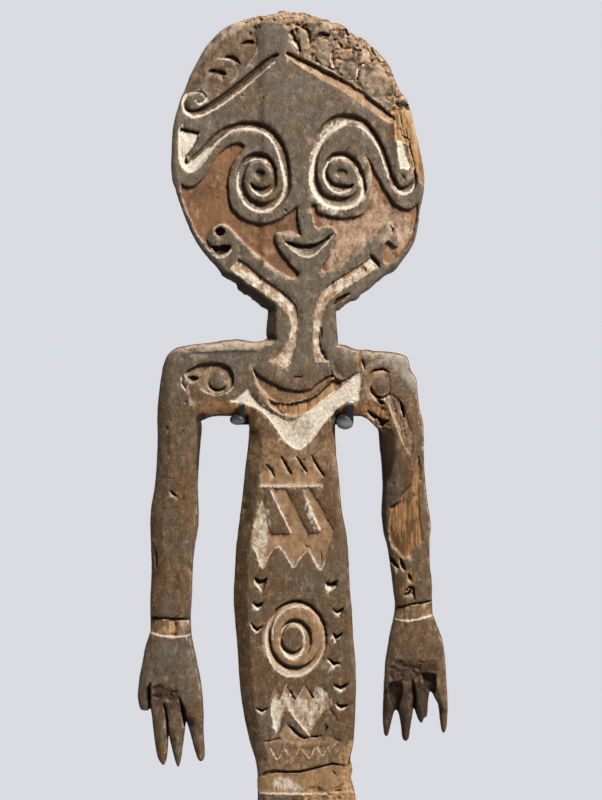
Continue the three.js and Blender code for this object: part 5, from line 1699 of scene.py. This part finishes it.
# %% Studio
def area_light(name, place, aim, size, power, colour="ffffff"):
    """A soft square light at a place, turned to face a point."""
    lamp = bpy.data.lights.new(name, "AREA")
    lamp.size, lamp.energy, lamp.color = size, power, linear(colour)[:3]
    made = placed(name, lamp)
    made.location = place
    way = mathutils.Vector(aim) - mathutils.Vector(place)
    made.rotation_euler = way.to_track_quat("-Z", "Y").to_euler()


def stage_piece(name, points, faces, finish, unseen_by):
    """A piece of the studio with its finish, left out for the kinds of ray that are named."""
    mesh = bpy.data.meshes.new(name)
    mesh.from_pydata(points, [], faces)
    mesh.shade_smooth()
    mesh.materials.append(finish)
    made = placed(name, mesh)
    for ray in unseen_by:
        setattr(made, "visible_" + ray, False)


PAPER, PAPER_FAR, GLOW = "d1d5dc", "c9cdd4", "d9dbe0"
SWEEP_FRONT, SWEEP_FLAT, SWEEP_BEND, SWEEP_TALL, SWEEP_HALF = -1.0, 1.2, 1.0, 5.0, 5.0
FLOOR_REACH, FLOOR_BEND, WALL_TALL, FLOOR_SIDES = 9.6, 2.0, 12.0, 72
GLOW_STARTS, GLOW_FULL = 0.9, 3.4


def reflector():
    """A pale sweep close behind the object, which only throws light back at it."""
    turn = np.linspace(0, np.pi / 2, 24)
    rise = SWEEP_FLAT + SWEEP_BEND
    y = np.concatenate([[SWEEP_FRONT, SWEEP_FLAT], SWEEP_FLAT + SWEEP_BEND * np.sin(turn), [rise]])
    z = np.concatenate([[0, 0], SWEEP_BEND - SWEEP_BEND * np.cos(turn), [SWEEP_TALL]]) - 0.002
    points = [(a, b, c) for b, c in zip(y, z) for a in (-SWEEP_HALF, SWEEP_HALF)]
    faces = [(2 * k, 2 * k + 1, 2 * k + 3, 2 * k + 2) for k in range(len(y) - 1)]
    paper = finish_of("pale_matt_paper", {"Base Color": linear(PAPER), "Roughness": 0.9})[0]
    stage_piece("reflector", points, faces, paper, ["camera", "shadow"])


def ground():
    """A wide round floor with a wall all round it: paper by the object, and glowing evenly further out."""
    turn = np.linspace(0, np.pi / 2, 12)[1:]
    level = [0.4, 0.8, 1.2, 2.0, 3.0, 5.0, FLOOR_REACH]
    r = np.concatenate([level, FLOOR_REACH + FLOOR_BEND * np.sin(turn), [FLOOR_REACH + FLOOR_BEND]])
    z = np.concatenate([np.zeros(len(level)), FLOOR_BEND - FLOOR_BEND * np.cos(turn), [WALL_TALL]]) - 0.0005
    way = np.linspace(0, 2 * np.pi, FLOOR_SIDES, endpoint=False)
    points = [(a * np.cos(w), a * np.sin(w), c) for a, c in zip(r, z) for w in way]
    n = FLOOR_SIDES
    faces = [tuple(range(n))[::-1]]
    for row in range(0, n * (len(r) - 1), n):
        faces += [(row + k, row + (k + 1) % n, row + n + (k + 1) % n, row + n + k) for k in range(n)]
    plain = {"Emission Color": linear(GLOW), "Roughness": 0.9}
    finish, tree, shader = finish_of("pale_ground_lit_evenly", plain)
    spot = add(tree, "ShaderNodeTexCoord", out="Object")
    flat = add(tree, "ShaderNodeVectorMath", {0: spot, 1: (1.0, 1.0, 0.0)}, operation="MULTIPLY")
    far = add(tree, "ShaderNodeVectorMath", {0: flat}, out=1, operation="LENGTH")
    span = {0: far, 1: GLOW_STARTS, 2: GLOW_FULL}
    glow = add(tree, "ShaderNodeMapRange", span, interpolation_type="SMOOTHSTEP")
    dim = {0: glow, 6: linear(PAPER_FAR), 7: linear("000000")}
    paper = add(tree, "ShaderNodeMix", dim, out=2, data_type="RGBA")
    tree.links.new(paper, shader.inputs["Base Color"])
    tree.links.new(glow, shader.inputs["Emission Strength"])
    stage_piece("ground", points, faces, finish, ["diffuse", "glossy", "transmission", "shadow"])


reflector()
ground()
LOOK_U, LOOK_V, PHOTO_TALL = 301.0, 400.0, 800.0
LENS, SENSOR, FARTHEST = 180.0, 36.0, 50.0
aim = ((LOOK_U - SHEET_CENTRE) * MM, FRONT_FACE * MM, (SHEET_TOP - LOOK_V) * MM)
distance = PHOTO_TALL * MM * LENS / SENSOR
eye = bpy.data.cameras.new("camera")
eye.lens, eye.sensor_width, eye.clip_end = LENS, SENSOR, FARTHEST
camera = placed("camera", eye)
camera.location = (aim[0], aim[1] - distance, aim[2])
camera.rotation_euler = (np.pi / 2, 0, 0)
bpy.context.scene.camera = camera
area_light("key", (1.3, -1.75, 2.6), (0, 0, 0.85), 0.42, 141, "fff9f2")
area_light("fill", (-1.4, -2.6, 1.3), (0, 0, 0.8), 1.6, 5, "fff3e6")
area_light("wall", (-1.1, 0.6, 2.6), (-0.3, 2.2, 0.9), 1.6, 28)
world = bpy.data.worlds.new("room")
world.use_nodes = True
world.node_tree.nodes["Background"].inputs[0].default_value = linear("efe8e0")
world.node_tree.nodes["Background"].inputs[1].default_value = 0.05
bpy.context.scene.world = world
bpy.context.scene.view_settings.view_transform = "Standard"
